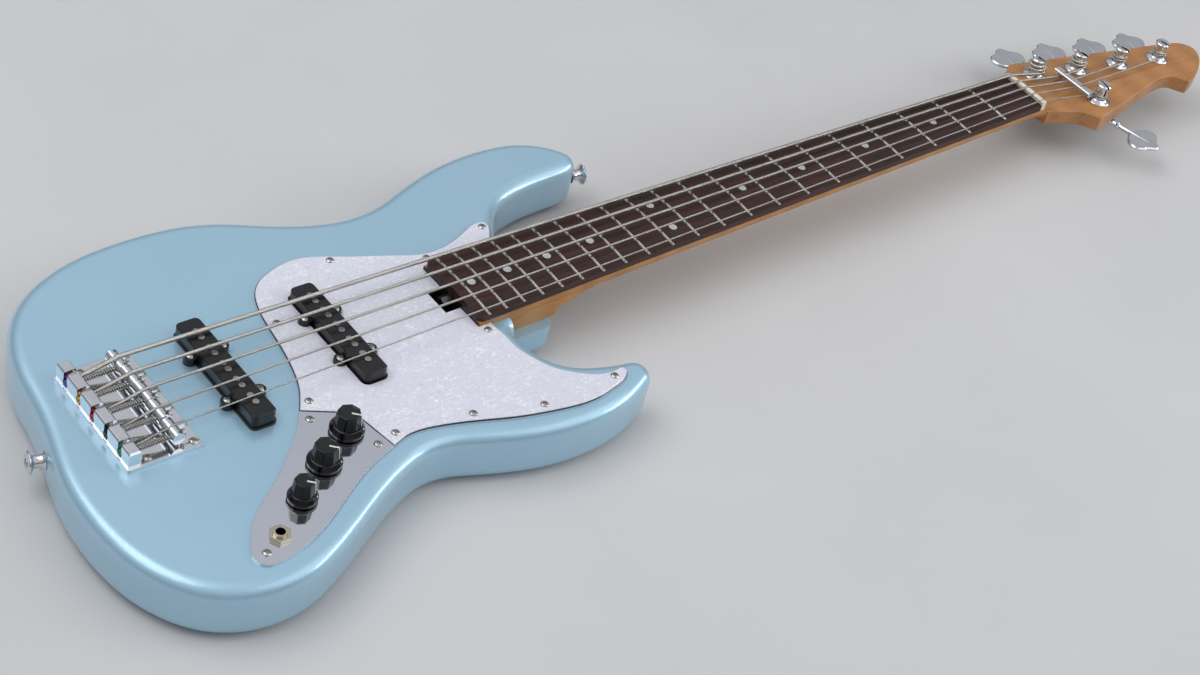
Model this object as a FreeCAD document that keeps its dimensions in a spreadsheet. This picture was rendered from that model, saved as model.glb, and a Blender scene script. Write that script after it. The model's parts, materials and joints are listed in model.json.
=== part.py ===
import FreeCAD, Part
import math
import os
from FreeCAD import Placement, Rotation, Vector

# Driving sizes in millimetres, counts as plain numbers
SIZES = {
    "scale_length": 864,
    "fret_count": 21,
    "string_count": 5,
    "body_thickness": 42,
    "body_edge_radius": 10,
    "plate_thickness": 2,
    "plate_length": 63.5,
    "plate_width": 50.8,
    "plate_corner": 4,
    "plate_offset": 34,
    "neck_screw_span_long": 51,
    "neck_screw_span_wide": 38,
    "neck_screw_radius": 2.1,
    "neck_screw_head": 4.4,
    "neck_screw_reach": 13,
    "pocket_depth": 16,
    "pocket_length": 70,
    "pocket_gap": 0.15,
    "board_rise": 10.9,
    "board_thickness": 6,
    "board_radius": 350,
    "board_overhang": 8.9,
    "heel_half_width": 34.25,
    "nut_half_width": 23,
    "nut_thickness": 5,
    "nut_rise": 2.7,
    "nut_spacing": 9.5,
    "nut_action": 1.75,
    "fret_width": 2.4,
    "fret_height": 1.1,
    "seat_gap": 0.02,
    "dot_radius": 3.2,
    "dot_depth": 1.2,
    "double_dot_spread": 14,
    "head_rise": 1.25,
    "head_thickness": 13.5,
    "head_edge_radius": 1.2,
    "rod_radius": 3,
    "rod_depth": 4.6,
    "rod_nut_radius": 4.6,
    "rod_nut_length": 9,
    "recess_length": 13,
    "recess_half_width": 12.5,
    "recess_depth": 14,
    "guard_thickness": 2.4,
    "guard_bevel": 1,
    "control_thickness": 1.6,
    "panel_gap": 0.3,
    "cavity_depth": 34,
    "cavity_radius": 15,
    "screw_radius": 1.5,
    "screw_head_radius": 3,
    "screw_head_height": 1.3,
    "screw_reach": 14,
    "small_head": 2.2,
    "small_head_height": 1,
    "small_shank": 1.1,
    "small_reach": 9,
    "head_sink": 0.15,
    "pilot_gap": 0.05,
    "hole_gap": 0.2,
    "pickup_width": 18.3,
    "pickup_rise": 11.2,
    "pickup_depth": 10,
    "pickup_corner": 4,
    "pickup_wall": 1.2,
    "pickup_lip": 1.1,
    "pickup_lip_height": 1.6,
    "bridge_pickup_length": 101.5,
    "neck_pickup_length": 97.5,
    "pickup_route_depth": 22,
    "ear_radius": 4.6,
    "ear_height": 5.8,
    "ear_offset": 12.3,
    "pole_radius": 2.4,
    "pole_rise": 0.7,
    "pole_half_pitch": 3.3,
    "coil_height": 11,
    "bridge_spacing": 17.5,
    "bridge_plate_height": 2.5,
    "bridge_half_width": 48.5,
    "bridge_front": 17.5,
    "bridge_back": 36.5,
    "tail_back": 35.5,
    "tail_front": 26.5,
    "tail_half_width": 47,
    "tail_rise": 14.6,
    "tail_slot_width": 4.2,
    "rib_width": 5,
    "rib_height": 1.6,
    "saddle_action": 3.85,
    "saddle_station": 1.5,
    "saddle_radius": 4.6,
    "saddle_length": 17.2,
    "saddle_groove": 0.8,
    "groove_gap": 0.13,
    "set_screw_radius": 1,
    "set_screw_spread": 6.9,
    "set_screw_lead": 1.4,
    "intonation_radius": 1.25,
    "intonation_offset": 4.1,
    "intonation_reach": 4.5,
    "intonation_head_radius": 2.3,
    "intonation_head_length": 1.8,
    "running_gap": 0.05,
    "spring_wire": 0.65,
    "spring_radius": 1.85,
    "spring_turns": 4,
    "ball_radius": 2.7,
    "ball_length": 4,
    "ball_rise": 6.5,
    "string_low": 3.3,
    "string_second": 2.65,
    "string_third": 2.15,
    "string_fourth": 1.65,
    "string_high": 1.15,
    "wrap_turns": 1.75,
    "wrap_gap": 0.45,
    "touch_gap": 0.15,
    "retainer_length": 42,
    "retainer_width": 8,
    "retainer_thickness": 4,
    "retainer_rise": 4.6,
    "tuner_pitch": 47.9,
    "tuner_plate_thickness": 1.4,
    "bushing_radius": 7,
    "bushing_flange": 10.4,
    "bushing_rise": 3.5,
    "bushing_depth": 8,
    "post_radius": 5,
    "post_cap_radius": 6.6,
    "post_rise": 17.6,
    "gear_teeth": 20,
    "gear_module": 0.909,
    "gear_thickness": 5.2,
    "worm_pitch_radius": 3.41,
    "worm_depth": 5.9,
    "worm_half_length": 4.4,
    "tooth_half": 0.57,
    "key_radius": 2.5,
    "key_reach": 38,
    "ear_span": 5.8,
    "ear_thickness": 2.6,
    "paddle_thickness": 3.4,
    "large_knob_radius": 12,
    "small_knob_radius": 10.2,
    "knob_height": 17,
    "knob_flange_height": 6,
    "knob_lift": 0.8,
    "pot_radius": 12,
    "pot_height": 10,
    "pot_bushing_radius": 4.7,
    "pot_bushing_rise": 4.6,
    "pot_shaft_radius": 3,
    "pot_shaft_rise": 13.5,
    "jack_bore": 3.25,
    "jack_sleeve_radius": 4.7,
    "jack_rise": 4.6,
    "jack_length": 26,
    "jack_nut_across": 13,
    "pot_nut_across": 12,
    "strap_head_radius": 8.3,
    "strap_base_radius": 6.2,
    "strap_waist_radius": 4.4,
    "strap_height": 11.5,
    "strap_reach": 24,
    "strap_gap": 0.1,
}

# Body edge from the treble cutaway round the lower bout to the bass cutaway, x from the saddle line
TREBLE_CUTAWAY = [(273.2, -68.1), (286.7, -90.0), (308.0, -100.6)]
TREBLE_TIP = (326.6, -117.6)
TREBLE_TIP_RADIUS = 12.0
TREBLE_TIP_ANGLES = (80.0, -65.0)
TAIL_BUTTON = (-65.591, 2.887)
BODY_EDGE = [
    (312.5, -136.6), (290.8, -141.7), (242.3, -141.4), (194.4, -127.4), (157.6, -116.3), (117.7, -126.1),
    (64.8, -153.8), (11.3, -172.3), (-39.0, -158.5), (-67.4, -119.7), (-76.4, -73.7), (-72.8, -25.1),
    TAIL_BUTTON, (-60.8, 22.3), (-50.8, 79.5), (-26.2, 122.4), (19.6, 148.8), (76.6, 156.5), (134.7, 148.7),
    (189.2, 122.2), (243.6, 111.0), (302.6, 128.4), (367.8, 139.1), (418.0, 128.0),
]
BASS_TIP = (427.5, 101.5)
BASS_TIP_RADIUS = 12.5
BASS_TIP_ANGLES = (30.0, -70.0)
BASS_CUTAWAY = [(412.9, 87.3), (374.6, 84.2), (344.2, 72.2), (328.0, 52.0)]
CUTAWAY_CORNER_X = 271.4
CUTAWAY_CORNER_RADIUS = 5.0
TONGUE_BASS_Y = 30.0
TONGUE_TREBLE_Y = -42.0
TONGUE_CORNER_RADIUS = 12.0
SHELF_START = 276.0

# Pickguard edges: bass side to tail, lower side to the treble horn, treble cutaway
GUARD_BASS = [
    (313.0, 40.0), (318.6, 47.9), (321.7, 54.9), (320.2, 59.7), (315.4, 61.0), (297.3, 55.3), (276.2, 48.6),
    (258.3, 48.2), (239.4, 55.0), (200.7, 71.2), (171.3, 81.8), (145.2, 77.9), (127.1, 66.5), (118.4, 49.0),
    (112.5, 16.0), (105.1, -18.9), (99.7, -32.7), (89.4, -49.4),
]
PANEL_CORNER = (121.0, -67.0)
PANEL_END = (127.8, -104.6)
GUARD_TREBLE = [
    (127.8, -104.6), (140.1, -101.1), (152.8, -100.8), (167.6, -103.6), (192.0, -110.9), (217.8, -119.7),
    (245.7, -126.6), (283.7, -130.0), (300.1, -126.8), (315.0, -121.0), (317.8, -117.5), (302.1, -112.7),
    (285.4, -104.6), (272.2, -92.1), (264.9, -78.0), (260.5, -62.8), (260.2, -48.1), (259.2, -37.0),
]
GUARD_SCREWS = [
    (191.4, 69.9), (257.0, 43.0), (316.0, 55.0), (252.0, -40.2), (305.6, -118.2), (242.4, -119.0),
    (192.6, -104.1), (134.7, -95.7), (99.6, -45.0), (121.6, 29.5),
]

# Control plate edge from the panel end round the jack to the panel start
CONTROL_EDGE = [
    (127.8, -104.6), (99.6, -115.4), (78.9, -126.6), (58.8, -138.6), (40.7, -147.9), (22.2, -154.3),
    (6.9, -156.3), (-2.1, -153.7), (-5.0, -146.4), (-0.4, -135.0), (7.8, -123.0), (21.5, -110.4),
    (40.9, -96.9), (60.6, -80.6), (76.5, -65.2), (89.4, -49.4),
]
CONTROL_SCREWS = [(91.2, -59.1), (118.9, -98.6), (4.1, -146.1)]
KNOB_SPOTS = [(107.0, -79.0), (77.5, -97.5), (48.0, -117.5)]
JACK_SPOT = (18.6, -138.0)
BRIDGE_SCREWS = [(13.0, 43.3), (13.0, -43.3), (-20.0, 43.3), (-20.0, -43.3)]
BRIDGE_PICKUP_X = 62.2
NECK_PICKUP_X = 151.5
BRIDGE_POLE_SPACING = 17.1
NECK_POLE_SPACING = 16.3
BRIDGE_EAR_Y = 23.5
NECK_EAR_Y = 22.0

# Headstock edges, x from the saddle line of the scale they are drawn for
HEAD_DRAWN_SCALE = 864.0
HEAD_START = 876.0
HEAD_START_HALF = 24.0
HEAD_TREBLE_THROAT = [(881.8, -25.4), (894.8, -31.3), (905.8, -37.3), (911.8, -43.8), (916.8, -51.3)]
HEAD_HOOK = [
    (1002.8, -34.8), (1019.8, -31.5), (1031.8, -31.3), (1039.8, -34.3), (1044.3, -40.3), (1048.8, -46.3),
]
HEAD_TIP = [
    (1048.8, -46.3), (1063.8, -41.6), (1081.8, -31.7), (1093.8, -21.3), (1098.8, -9.3), (1093.8, -0.3),
    (1081.8, 5.2), (1067.8, 8.5),
]
HEAD_BASS_CORNER = (897.0, 43.5)
HEAD_BASS_THROAT = [(895.0, 42.8), (890.8, 38.7), (881.8, 28.7)]
FIRST_POST = (906.7, 22.4)
ROW_ANGLE = -11.8
TREBLE_POST = (936.0, -30.6)
TREBLE_ANGLE = 10.9
RETAINER_SPOT = (926.0, -7.0)
RETAINER_SCREWS = (10.6, -10.5)
TUNER_SCREWS = [(-9.5, 12.0), (-9.5, -12.0), (20.5, 0.0)]
DOT_FRETS = [3, 5, 7, 9, 12, 15, 17, 19, 21]

doc = FreeCAD.newDocument("bass_guitar")
sheet = doc.addObject("Spreadsheet::Sheet", "Sizes")
for row, (word, number) in enumerate(SIZES.items(), start=1):
    sheet.set(f"A{row}", word)
    sheet.set(f"B{row}", str(number))
    sheet.setAlias(f"B{row}", word)
doc.recompute()


def mm(word):
    """Value of one cell of the sheet."""
    return float(sheet.get(word))


UP = Vector(0, 0, 1)
ALONG = Vector(1, 0, 0)
ACROSS = Vector(0, 1, 0)

# Levels and stations that the pieces share
BACK = mm("plate_thickness")
TOP = BACK + mm("body_thickness")
CROWN = TOP + mm("board_rise")
UNDER = CROWN - mm("board_thickness")
FLOOR = TOP - mm("pocket_depth")
FACE = TOP + mm("head_rise")
REAR = FACE - mm("head_thickness")
CROWN_AXIS = CROWN - mm("board_radius")
NUT_X = mm("scale_length")


def fret_x(number):
    """Distance of a fret from the saddle line."""
    return NUT_X * 2 ** (-number / 12)


HEEL_X = fret_x(mm("fret_count")) - mm("board_overhang")
TONGUE_X = HEEL_X + mm("pocket_length")
SADDLE_X = -(HEEL_X + mm("plate_offset"))
HEAD_SHIFT = NUT_X - HEAD_DRAWN_SCALE
STRINGS = int(mm("string_count"))
MIDDLE = (STRINGS - 1) / 2
WIRES = [mm(f"string_{word}") / 2 for word in ("low", "second", "third", "fourth", "high")]


def half_width(x):
    """Half width of neck and fingerboard at a station."""
    share = (x - HEEL_X) / (NUT_X - HEEL_X)
    return mm("heel_half_width") + share * (mm("nut_half_width") - mm("heel_half_width"))


def crown_drop(y):
    """Fall of the fingerboard's crown away from its centre line."""
    return mm("board_radius") - math.sqrt(mm("board_radius") ** 2 - y * y)


# Drawing helpers
def flat(points):
    return [Vector(x, y, 0) for x, y in points]


def guide(points, start, end):
    """Smooth curve through points with given end directions."""
    curve = Part.BSplineCurve()
    curve.interpolate(Points=flat(points), InitialTangent=Vector(*start, 0), FinalTangent=Vector(*end, 0),
                      Scale=False)
    return curve


def arc_edge(start, direction, end):
    """Arc that leaves a spot in a direction and ends at another."""
    chord = end - start
    forward = Vector(chord).normalize()
    lean = direction - forward * direction.dot(forward)
    if lean.Length < 1e-6:
        return Part.LineSegment(start, end).toShape()
    half_turn = math.acos(max(-1.0, min(1.0, direction.dot(forward))))
    rise = chord.Length / 2 * math.tan(half_turn / 2)
    return Part.Arc(start, start + chord * 0.5 + lean.normalize() * rise, end).toShape()


def biarc(start, first, end, last):
    """Two tangent arcs between spots with given directions."""
    span = end - start
    both = first + last
    a = 2 * (1 - first.dot(last))
    b = span.dot(both)
    reach = span.dot(span) / (2 * b) if a < 1e-9 else (-b + math.sqrt(b * b + a * span.dot(span))) / a
    middle = (start + end + (first - last) * reach) * 0.5
    joint = (middle - start - first * reach).normalize()
    return [arc_edge(start, first, middle), arc_edge(middle, joint, end)]


def drawn(edge):
    """Sketch form of a flat arc or straight edge."""
    start = edge.valueAt(edge.FirstParameter)
    end = edge.valueAt(edge.LastParameter)
    if edge.Curve.TypeId != "Part::GeomCircle":
        return Part.LineSegment(start, end)
    center = edge.Curve.Center
    if edge.Curve.Axis.z < 0:
        start, end = end, start
    first = math.atan2(start.y - center.y, start.x - center.x)
    last = math.atan2(end.y - center.y, end.x - center.x)
    if last < first:
        last += 2 * math.pi
    return Part.ArcOfCircle(Part.Circle(center, UP, edge.Curve.Radius), first, last)


def smooth(points, start, end):
    """Tangent arcs through points, in the directions that a smooth curve has there."""
    curve = guide(points, start, end)
    spots = flat(points)
    ways = [curve.tangent(curve.parameter(spot))[0] for spot in spots]
    arcs = []
    for i in range(len(spots) - 1):
        arcs += [drawn(edge) for edge in biarc(spots[i], ways[i], spots[i + 1], ways[i + 1])]
    return arcs


def line(start, end):
    return Part.LineSegment(Vector(*start, 0), Vector(*end, 0))


def chain(points):
    """Straight segments through points."""
    return [line(points[i], points[i + 1]) for i in range(len(points) - 1)]


def ring(points):
    return chain(list(points) + [points[0]])


def circle(x, y, radius):
    return Part.Circle(Vector(x, y, 0), UP, radius)


def corner(center, radius, first, last):
    """Arc about a centre between two angles in degrees."""
    return Part.ArcOfCircle(circle(*center, radius), math.radians(first), math.radians(last))


def rounded(x, y, length, width, radius):
    """Rectangle with round corners about a centre."""
    a = length / 2
    b = width / 2
    c = a - radius
    d = b - radius
    return [
        line((x - c, y - b), (x + c, y - b)), corner((x + c, y - d), radius, 270, 360),
        line((x + a, y - d), (x + a, y + d)), corner((x + c, y + d), radius, 0, 90),
        line((x + c, y + b), (x - c, y + b)), corner((x - c, y + d), radius, 90, 180),
        line((x - a, y + d), (x - a, y - d)), corner((x - c, y - d), radius, 180, 270),
    ]


def face_of(*loops):
    """Flat face from an outer loop and its holes."""
    wires = [Part.Wire(Part.__sortEdges__([curve.toShape() for curve in loop])) for loop in loops]
    return Part.makeFace(wires, "Part::FaceMakerBullseye")


def slab(face, low, high):
    """Flat face made thick between two levels."""
    moved = face.copy()
    moved.translate(Vector(0, 0, low))
    return moved.extrude(Vector(0, 0, high - low))


def turned(profile):
    """Round solid about z from corners given as radius and height."""
    points = [Vector(radius, 0, height) for radius, height in profile]
    return Part.Face(Part.makePolygon(points + points[:1])).revolve(Vector(), UP, 360)


def ring_spots(radius, sides, height=0.0):
    """Corners of a level polygon about z."""
    step = 2 * math.pi / sides
    return [Vector(radius * math.cos(i * step), radius * math.sin(i * step), height) for i in range(sides)]


def gon(x, y, radius, sides):
    """Drawn polygon about a spot."""
    return ring([(x + spot.x, y + spot.y) for spot in ring_spots(radius, sides)])


def flat_face(corners):
    return Part.Face(Part.makePolygon(corners + corners[:1]))


def stitched(rings, closed=False):
    """Solid with flat facets through rings of equally many corners."""
    faces = []
    pairs = list(zip(rings, rings[1:]))
    if closed:
        pairs.append((rings[-1], rings[0]))
    for near, far in pairs:
        for i in range(len(near)):
            a, b, c, d = near[i - 1], near[i], far[i], far[i - 1]
            level = abs((b - a).cross(c - a).dot(d - a)) < 1e-7
            faces += [flat_face(row) for row in ([[a, b, c, d]] if level else [[a, b, c], [a, c, d]])]
    if not closed:
        faces += [flat_face(rings[0]), flat_face(rings[-1])]
    solid = Part.makeSolid(Part.makeShell(faces))
    if solid.Volume < 0:
        solid.reverse()
    return solid


def faceted(profile, sides):
    """Turned form with flat sides, from corners given as radius and height; hollow if none is on the axis."""
    rings = [ring_spots(radius, sides, height) for radius, height in profile if radius > 0]
    return stitched(rings, closed=len(rings) == len(profile))


def prism(radius, sides, low, high):
    """Straight bar about z with flat sides."""
    return faceted([(0, low), (radius, low), (radius, high), (0, high)], sides)


def outside(radius, sides):
    """Corner radius of a polygon whose flats lie at a radius."""
    return radius / math.cos(math.pi / sides)


def turn(shape, angle, axis=UP):
    shape.rotate(Vector(), axis, angle)
    return shape


def at(shape, x, y, z):
    """Copy of a shape moved to a spot."""
    moved = shape.copy()
    moved.translate(Vector(x, y, z))
    return moved


# Body feature helpers
def new_body(label):
    body = doc.addObject("PartDesign::Body", label)
    body.Label = label
    return body


def sketch_in(body, geometry, height="0", role="XY_Plane"):
    """Sketch on one of the body's own planes, raised by an expression."""
    plane = next(item for item in body.Origin.OriginFeatures if item.Role == role)
    sketch = body.newObject("Sketcher::SketchObject", body.Name + "_sketch")
    sketch.AttachmentSupport = [(plane, "")]
    sketch.MapMode = "FlatFace"
    sketch.setExpression("AttachmentOffset.Base.z", height)
    sketch.addGeometry(geometry, False)
    return sketch


def add_feature(body, kind, sketch, length, reverse=False):
    feature = body.newObject("PartDesign::" + kind, body.Name + "_" + kind.lower())
    feature.Profile = sketch
    feature.setExpression("Length", length)
    feature.Reversed = reverse
    body.Tip = feature
    doc.recompute()
    return feature


def pad(body, geometry, length, height="0"):
    return add_feature(body, "Pad", sketch_in(body, geometry, height), length)


def pocket(body, geometry, length, height):
    """Cut downwards from a level."""
    return add_feature(body, "Pocket", sketch_in(body, geometry, height), length)


def dress(body, kind, word, test):
    """Fillet or chamfer every edge of the tip that passes a test."""
    base = body.Tip
    names = [f"Edge{i + 1}" for i, edge in enumerate(base.Shape.Edges) if test(edge)]
    feature = body.newObject("PartDesign::" + kind, body.Name + "_" + kind.lower())
    feature.Base = (base, names)
    feature.setExpression("Radius" if kind == "Fillet" else "Size", word)
    body.Tip = feature
    doc.recompute()
    return feature


def level_edge(height):
    """Test for edges that lie flat at a level."""
    def test(edge):
        box = edge.BoundBox
        return abs(box.ZMin - height) < 1e-4 and abs(box.ZMax - height) < 1e-4
    return test


nodes = []


def place(item, x=0.0, y=0.0, z=0.0, rotation=None):
    """Put a finished piece at its station; x counts from the saddle line."""
    item.Placement = Placement(Vector(x + SADDLE_X, y, z), rotation or Rotation())
    nodes.append(item)
    return item


def piece(label, shape, x=0.0, y=0.0, z=0.0, rotation=None):
    """Piece whose shape is worked out from the sheet's sizes in code."""
    item = doc.addObject("Part::Feature", label)
    item.Label = label
    item.Shape = shape
    own = shape.Placement
    place(item, x, y, z, rotation)
    item.Placement = item.Placement.multiply(own)
    return item


def group(label, shapes):
    return piece(label, Part.makeCompound(shapes))


# Screws
SCREW_SIDES = 10
HEAD_FLAT = 0.6
PILOT_LEAD = 1.0


def screw(head, height, shank, seat, reach):
    """Screw about z from the surface it enters: head above its seat, shank down to its end."""
    low = seat + mm("seat_gap")
    return faceted([
        (0, low + height), (head * HEAD_FLAT, low + height), (head, low),
        (shank, low), (shank, -reach), (0, -reach),
    ], SCREW_SIDES)


def pilot(shank, reach):
    """Hole for a screw's shank, from a little above the surface to a little past its end."""
    gap = mm("pilot_gap")
    return prism(shank + gap, SCREW_SIDES, -reach - gap, PILOT_LEAD)


def wood_screw(seat):
    return screw(
        mm("screw_head_radius"), mm("screw_head_height"), mm("screw_radius"), seat, mm("screw_reach"))


def small_screw(seat):
    return screw(mm("small_head"), mm("small_head_height"), mm("small_shank"), seat, mm("small_reach"))


def small_pilot():
    return pilot(mm("small_shank"), mm("small_reach"))


# Body
def on_tip(center, radius, angle):
    """Spot on a horn's round tip and the direction of travel there."""
    turn_by = math.radians(angle)
    spot = (center[0] + radius * math.cos(turn_by), center[1] + radius * math.sin(turn_by))
    return spot, (math.sin(turn_by), -math.cos(turn_by))


def body_outline():
    """Closed body edge, with the long curve round the lower bout first."""
    treble = [on_tip(TREBLE_TIP, TREBLE_TIP_RADIUS, angle) for angle in TREBLE_TIP_ANGLES]
    bass = [on_tip(BASS_TIP, BASS_TIP_RADIUS, angle) for angle in BASS_TIP_ANGLES]
    end = (TONGUE_X, TONGUE_BASS_Y)
    radius = TONGUE_CORNER_RADIUS
    side = TONGUE_TREBLE_Y
    bend = CUTAWAY_CORNER_RADIUS
    start = (CUTAWAY_CORNER_X, side - bend)
    return [
        *smooth([treble[1][0]] + BODY_EDGE + [bass[0][0]], treble[1][1], bass[0][1]),
        corner(BASS_TIP, BASS_TIP_RADIUS, BASS_TIP_ANGLES[1], BASS_TIP_ANGLES[0]),
        *smooth([bass[1][0]] + BASS_CUTAWAY + [end], bass[1][1], (0, -1)),
        line(end, (TONGUE_X, side + radius)),
        corner((TONGUE_X - radius, side + radius), radius, 270, 360),
        line((TONGUE_X - radius, side), (start[0] + bend, side)),
        corner((start[0] + bend, start[1]), bend, 90, 180),
        *smooth([start] + TREBLE_CUTAWAY + [treble[0][0]], (0, -1), treble[0][1]),
        corner(TREBLE_TIP, TREBLE_TIP_RADIUS, TREBLE_TIP_ANGLES[1], TREBLE_TIP_ANGLES[0]),
    ]


def tail_frame():
    """Spot and outward direction at the tail button."""
    treble = on_tip(TREBLE_TIP, TREBLE_TIP_RADIUS, TREBLE_TIP_ANGLES[1])
    bass = on_tip(BASS_TIP, BASS_TIP_RADIUS, BASS_TIP_ANGLES[0])
    curve = guide([treble[0]] + BODY_EDGE + [bass[0]], treble[1], bass[1])
    spot = Vector(*TAIL_BUTTON, 0)
    tangent = curve.tangent(curve.parameter(spot))[0]
    return spot, Vector(-tangent.y, tangent.x, 0)


body_loop = body_outline()
body = new_body("body")
pad(body, body_loop, "Sizes.body_thickness")
dress(body, "Fillet", "Sizes.body_edge_radius",
      lambda edge: level_edge(0)(edge) or level_edge(mm("body_thickness"))(edge))

POCKET_OVERRUN = 20.0
SHELF_OVERRUN = 4.0
pocket_start = HEEL_X - mm("pocket_gap")
pocket_end = TONGUE_X + POCKET_OVERRUN
shelf_y = TONGUE_TREBLE_Y - SHELF_OVERRUN


def pocket_side(x, side):
    """Corner of the neck pocket at a station."""
    return (x, side * (half_width(x) + mm("pocket_gap")))


neck_seat = ring([
    pocket_side(pocket_start, 1), pocket_side(pocket_end, 1), (pocket_end, shelf_y), (SHELF_START, shelf_y),
    pocket_side(SHELF_START, -1), pocket_side(pocket_start, -1),
])
pocket(body, neck_seat, "Sizes.pocket_depth", "Sizes.body_thickness")
recess = ring([
    (HEEL_X - mm("recess_length"), mm("recess_half_width")), (HEEL_X + 1, mm("recess_half_width")),
    (HEEL_X + 1, -mm("recess_half_width")), (HEEL_X - mm("recess_length"), -mm("recess_half_width")),
])
pocket(body, recess, "Sizes.recess_depth", "Sizes.body_thickness")


def pickup_route(x, length_word):
    gap = 2 * mm("panel_gap")
    return rounded(x, 0, mm("pickup_width") + gap, mm(length_word) + gap, mm("pickup_corner"))


routes = pickup_route(BRIDGE_PICKUP_X, "bridge_pickup_length")
routes += pickup_route(NECK_PICKUP_X, "neck_pickup_length")
pocket(body, routes, "Sizes.pickup_route_depth", "Sizes.body_thickness")


def stadium(start, end, radius):
    """Slot outline round two centres."""
    angle = math.degrees(math.atan2(end[1] - start[1], end[0] - start[0]))
    side = math.radians(angle + 90)
    dx = radius * math.cos(side)
    dy = radius * math.sin(side)
    return [
        line((start[0] - dx, start[1] - dy), (end[0] - dx, end[1] - dy)),
        corner(end, radius, angle - 90, angle + 90),
        line((end[0] + dx, end[1] + dy), (start[0] + dx, start[1] + dy)),
        corner(start, radius, angle + 90, angle + 270),
    ]


control_route = stadium(JACK_SPOT, KNOB_SPOTS[0], mm("cavity_radius"))
pocket(body, control_route, "Sizes.cavity_depth", "Sizes.body_thickness")

neck_holes = [
    (HEEL_X + mm("plate_offset") + i * mm("neck_screw_span_long") / 2, j * mm("neck_screw_span_wide") / 2)
    for i in (-1, 1) for j in (-1, 1)
]
through = [circle(x, y, mm("neck_screw_radius") + mm("hole_gap")) for x, y in neck_holes]
pocket(body, through, "Sizes.body_thickness", "Sizes.body_thickness")


def ear_spots(x, ear_y):
    return [(x + i * mm("ear_offset"), j * ear_y) for i in (-1, 1) for j in (-1, 1)]


def tip_frame(angle):
    """Spot and outward direction on the bass horn's tip."""
    spot, _ = on_tip(BASS_TIP, BASS_TIP_RADIUS, angle)
    return Vector(*spot, 0), Vector(math.cos(math.radians(angle)), math.sin(math.radians(angle)), 0)


HORN_BUTTON_ANGLE = -12.0
ear_screw_spots = ear_spots(BRIDGE_PICKUP_X, BRIDGE_EAR_Y) + ear_spots(NECK_PICKUP_X, NECK_EAR_Y)
MID_BODY = mm("body_thickness") / 2
strap_frames = [tail_frame(), tip_frame(HORN_BUTTON_ANGLE)]


def strap_turn(outward):
    return Rotation(UP, outward)


wood_pilot = pilot(mm("screw_radius"), mm("screw_reach"))
wood_cuts = [at(wood_pilot, x, y, mm("body_thickness"))
             for x, y in GUARD_SCREWS + CONTROL_SCREWS + BRIDGE_SCREWS + ear_screw_spots]
for spot, outward in strap_frames:
    hole = pilot(mm("screw_radius"), mm("strap_reach"))
    hole.Placement = Placement(Vector(spot.x, spot.y, MID_BODY), strap_turn(outward))
    wood_cuts.append(hole)
drills = doc.addObject("Part::Feature", "body_drills")
drills.Shape = Part.makeCompound(wood_cuts)
drilled = doc.addObject("Part::Cut", "drilled_body")
drilled.Base = body
drilled.Tool = drills
body.Label = "solid_body"
drilled.Label = "body"
doc.recompute()
place(drilled, 0, 0, BACK)

# Neck with headstock
HEEL_BLOCK_X = TONGUE_X + 4
SECTION_STEPS = 20


def neck_section(x, half, top, depth, power):
    """Neck outline at a station: flat top and a rounded back."""
    points = []
    for step in range(SECTION_STEPS + 1):
        angle = math.pi * step / SECTION_STEPS
        across = math.copysign(abs(math.cos(angle)) ** (2 / power), math.cos(angle))
        down = math.sin(angle) ** (2 / power)
        points.append(Vector(x, half * across, top - depth * down))
    back = Part.BSplineCurve()
    back.interpolate(points)
    top_line = Part.LineSegment(points[-1], points[0])
    return Part.Wire([back.toShape(), top_line.toShape()])


heel_depth = UNDER - FLOOR
nut_end = NUT_X + mm("nut_thickness")
nut_depth = heel_depth - 5.8
step_down = UNDER - FACE
# Stations of the neck: place, half width, top level, depth and roundness of the back
HEEL_CURVE = ((0, 0, 9), (8, 0.2, 7), (16, 0.9, 5), (24, 1.8, 3.8), (34, 2.7, 3), (46, 3.1, 2.6))
SHAFT_CURVE = ((12, 3.7, 2.4), (5, 4.8, 2.3))
THROAT_CURVE = ((5, 0.3, 3.2), (10, 0.75, 5), (15, 1, 8))
THROAT_LENGTH = 15.0
THROAT_FLARE = 0.05
STATIONS = [(TONGUE_X + along, half_width(TONGUE_X + along), UNDER, heel_depth - thinner, power)
            for along, thinner, power in HEEL_CURVE]
STATIONS += [(fret_x(number), half_width(fret_x(number)), UNDER, heel_depth - thinner, power)
             for number, thinner, power in SHAFT_CURVE]
STATIONS.append((NUT_X - 4, half_width(NUT_X - 4), UNDER, nut_depth, 2.3))
STATIONS.append((nut_end, half_width(NUT_X), UNDER, nut_depth + 0.3, 2.5))
for along, fall, power in THROAT_CURVE:
    rise = 1 - along / THROAT_LENGTH
    bottom = REAR + rise * (UNDER - nut_depth - 0.3 - REAR)
    top = UNDER - fall * step_down
    STATIONS.append((nut_end + along, half_width(NUT_X) + along * THROAT_FLARE, top, top - bottom, power))
shaft_loft = Part.makeLoft([neck_section(*row) for row in STATIONS], True, True)
heel_block = slab(face_of(ring([
    (HEEL_X, half_width(HEEL_X)), (HEEL_BLOCK_X, half_width(HEEL_BLOCK_X)),
    (HEEL_BLOCK_X, -half_width(HEEL_BLOCK_X)), (HEEL_X, -half_width(HEEL_X)),
])), FLOOR, UNDER)


def moved(points):
    """Headstock points carried along with the nut."""
    return [(x + HEAD_SHIFT, y) for x, y in points]


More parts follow.
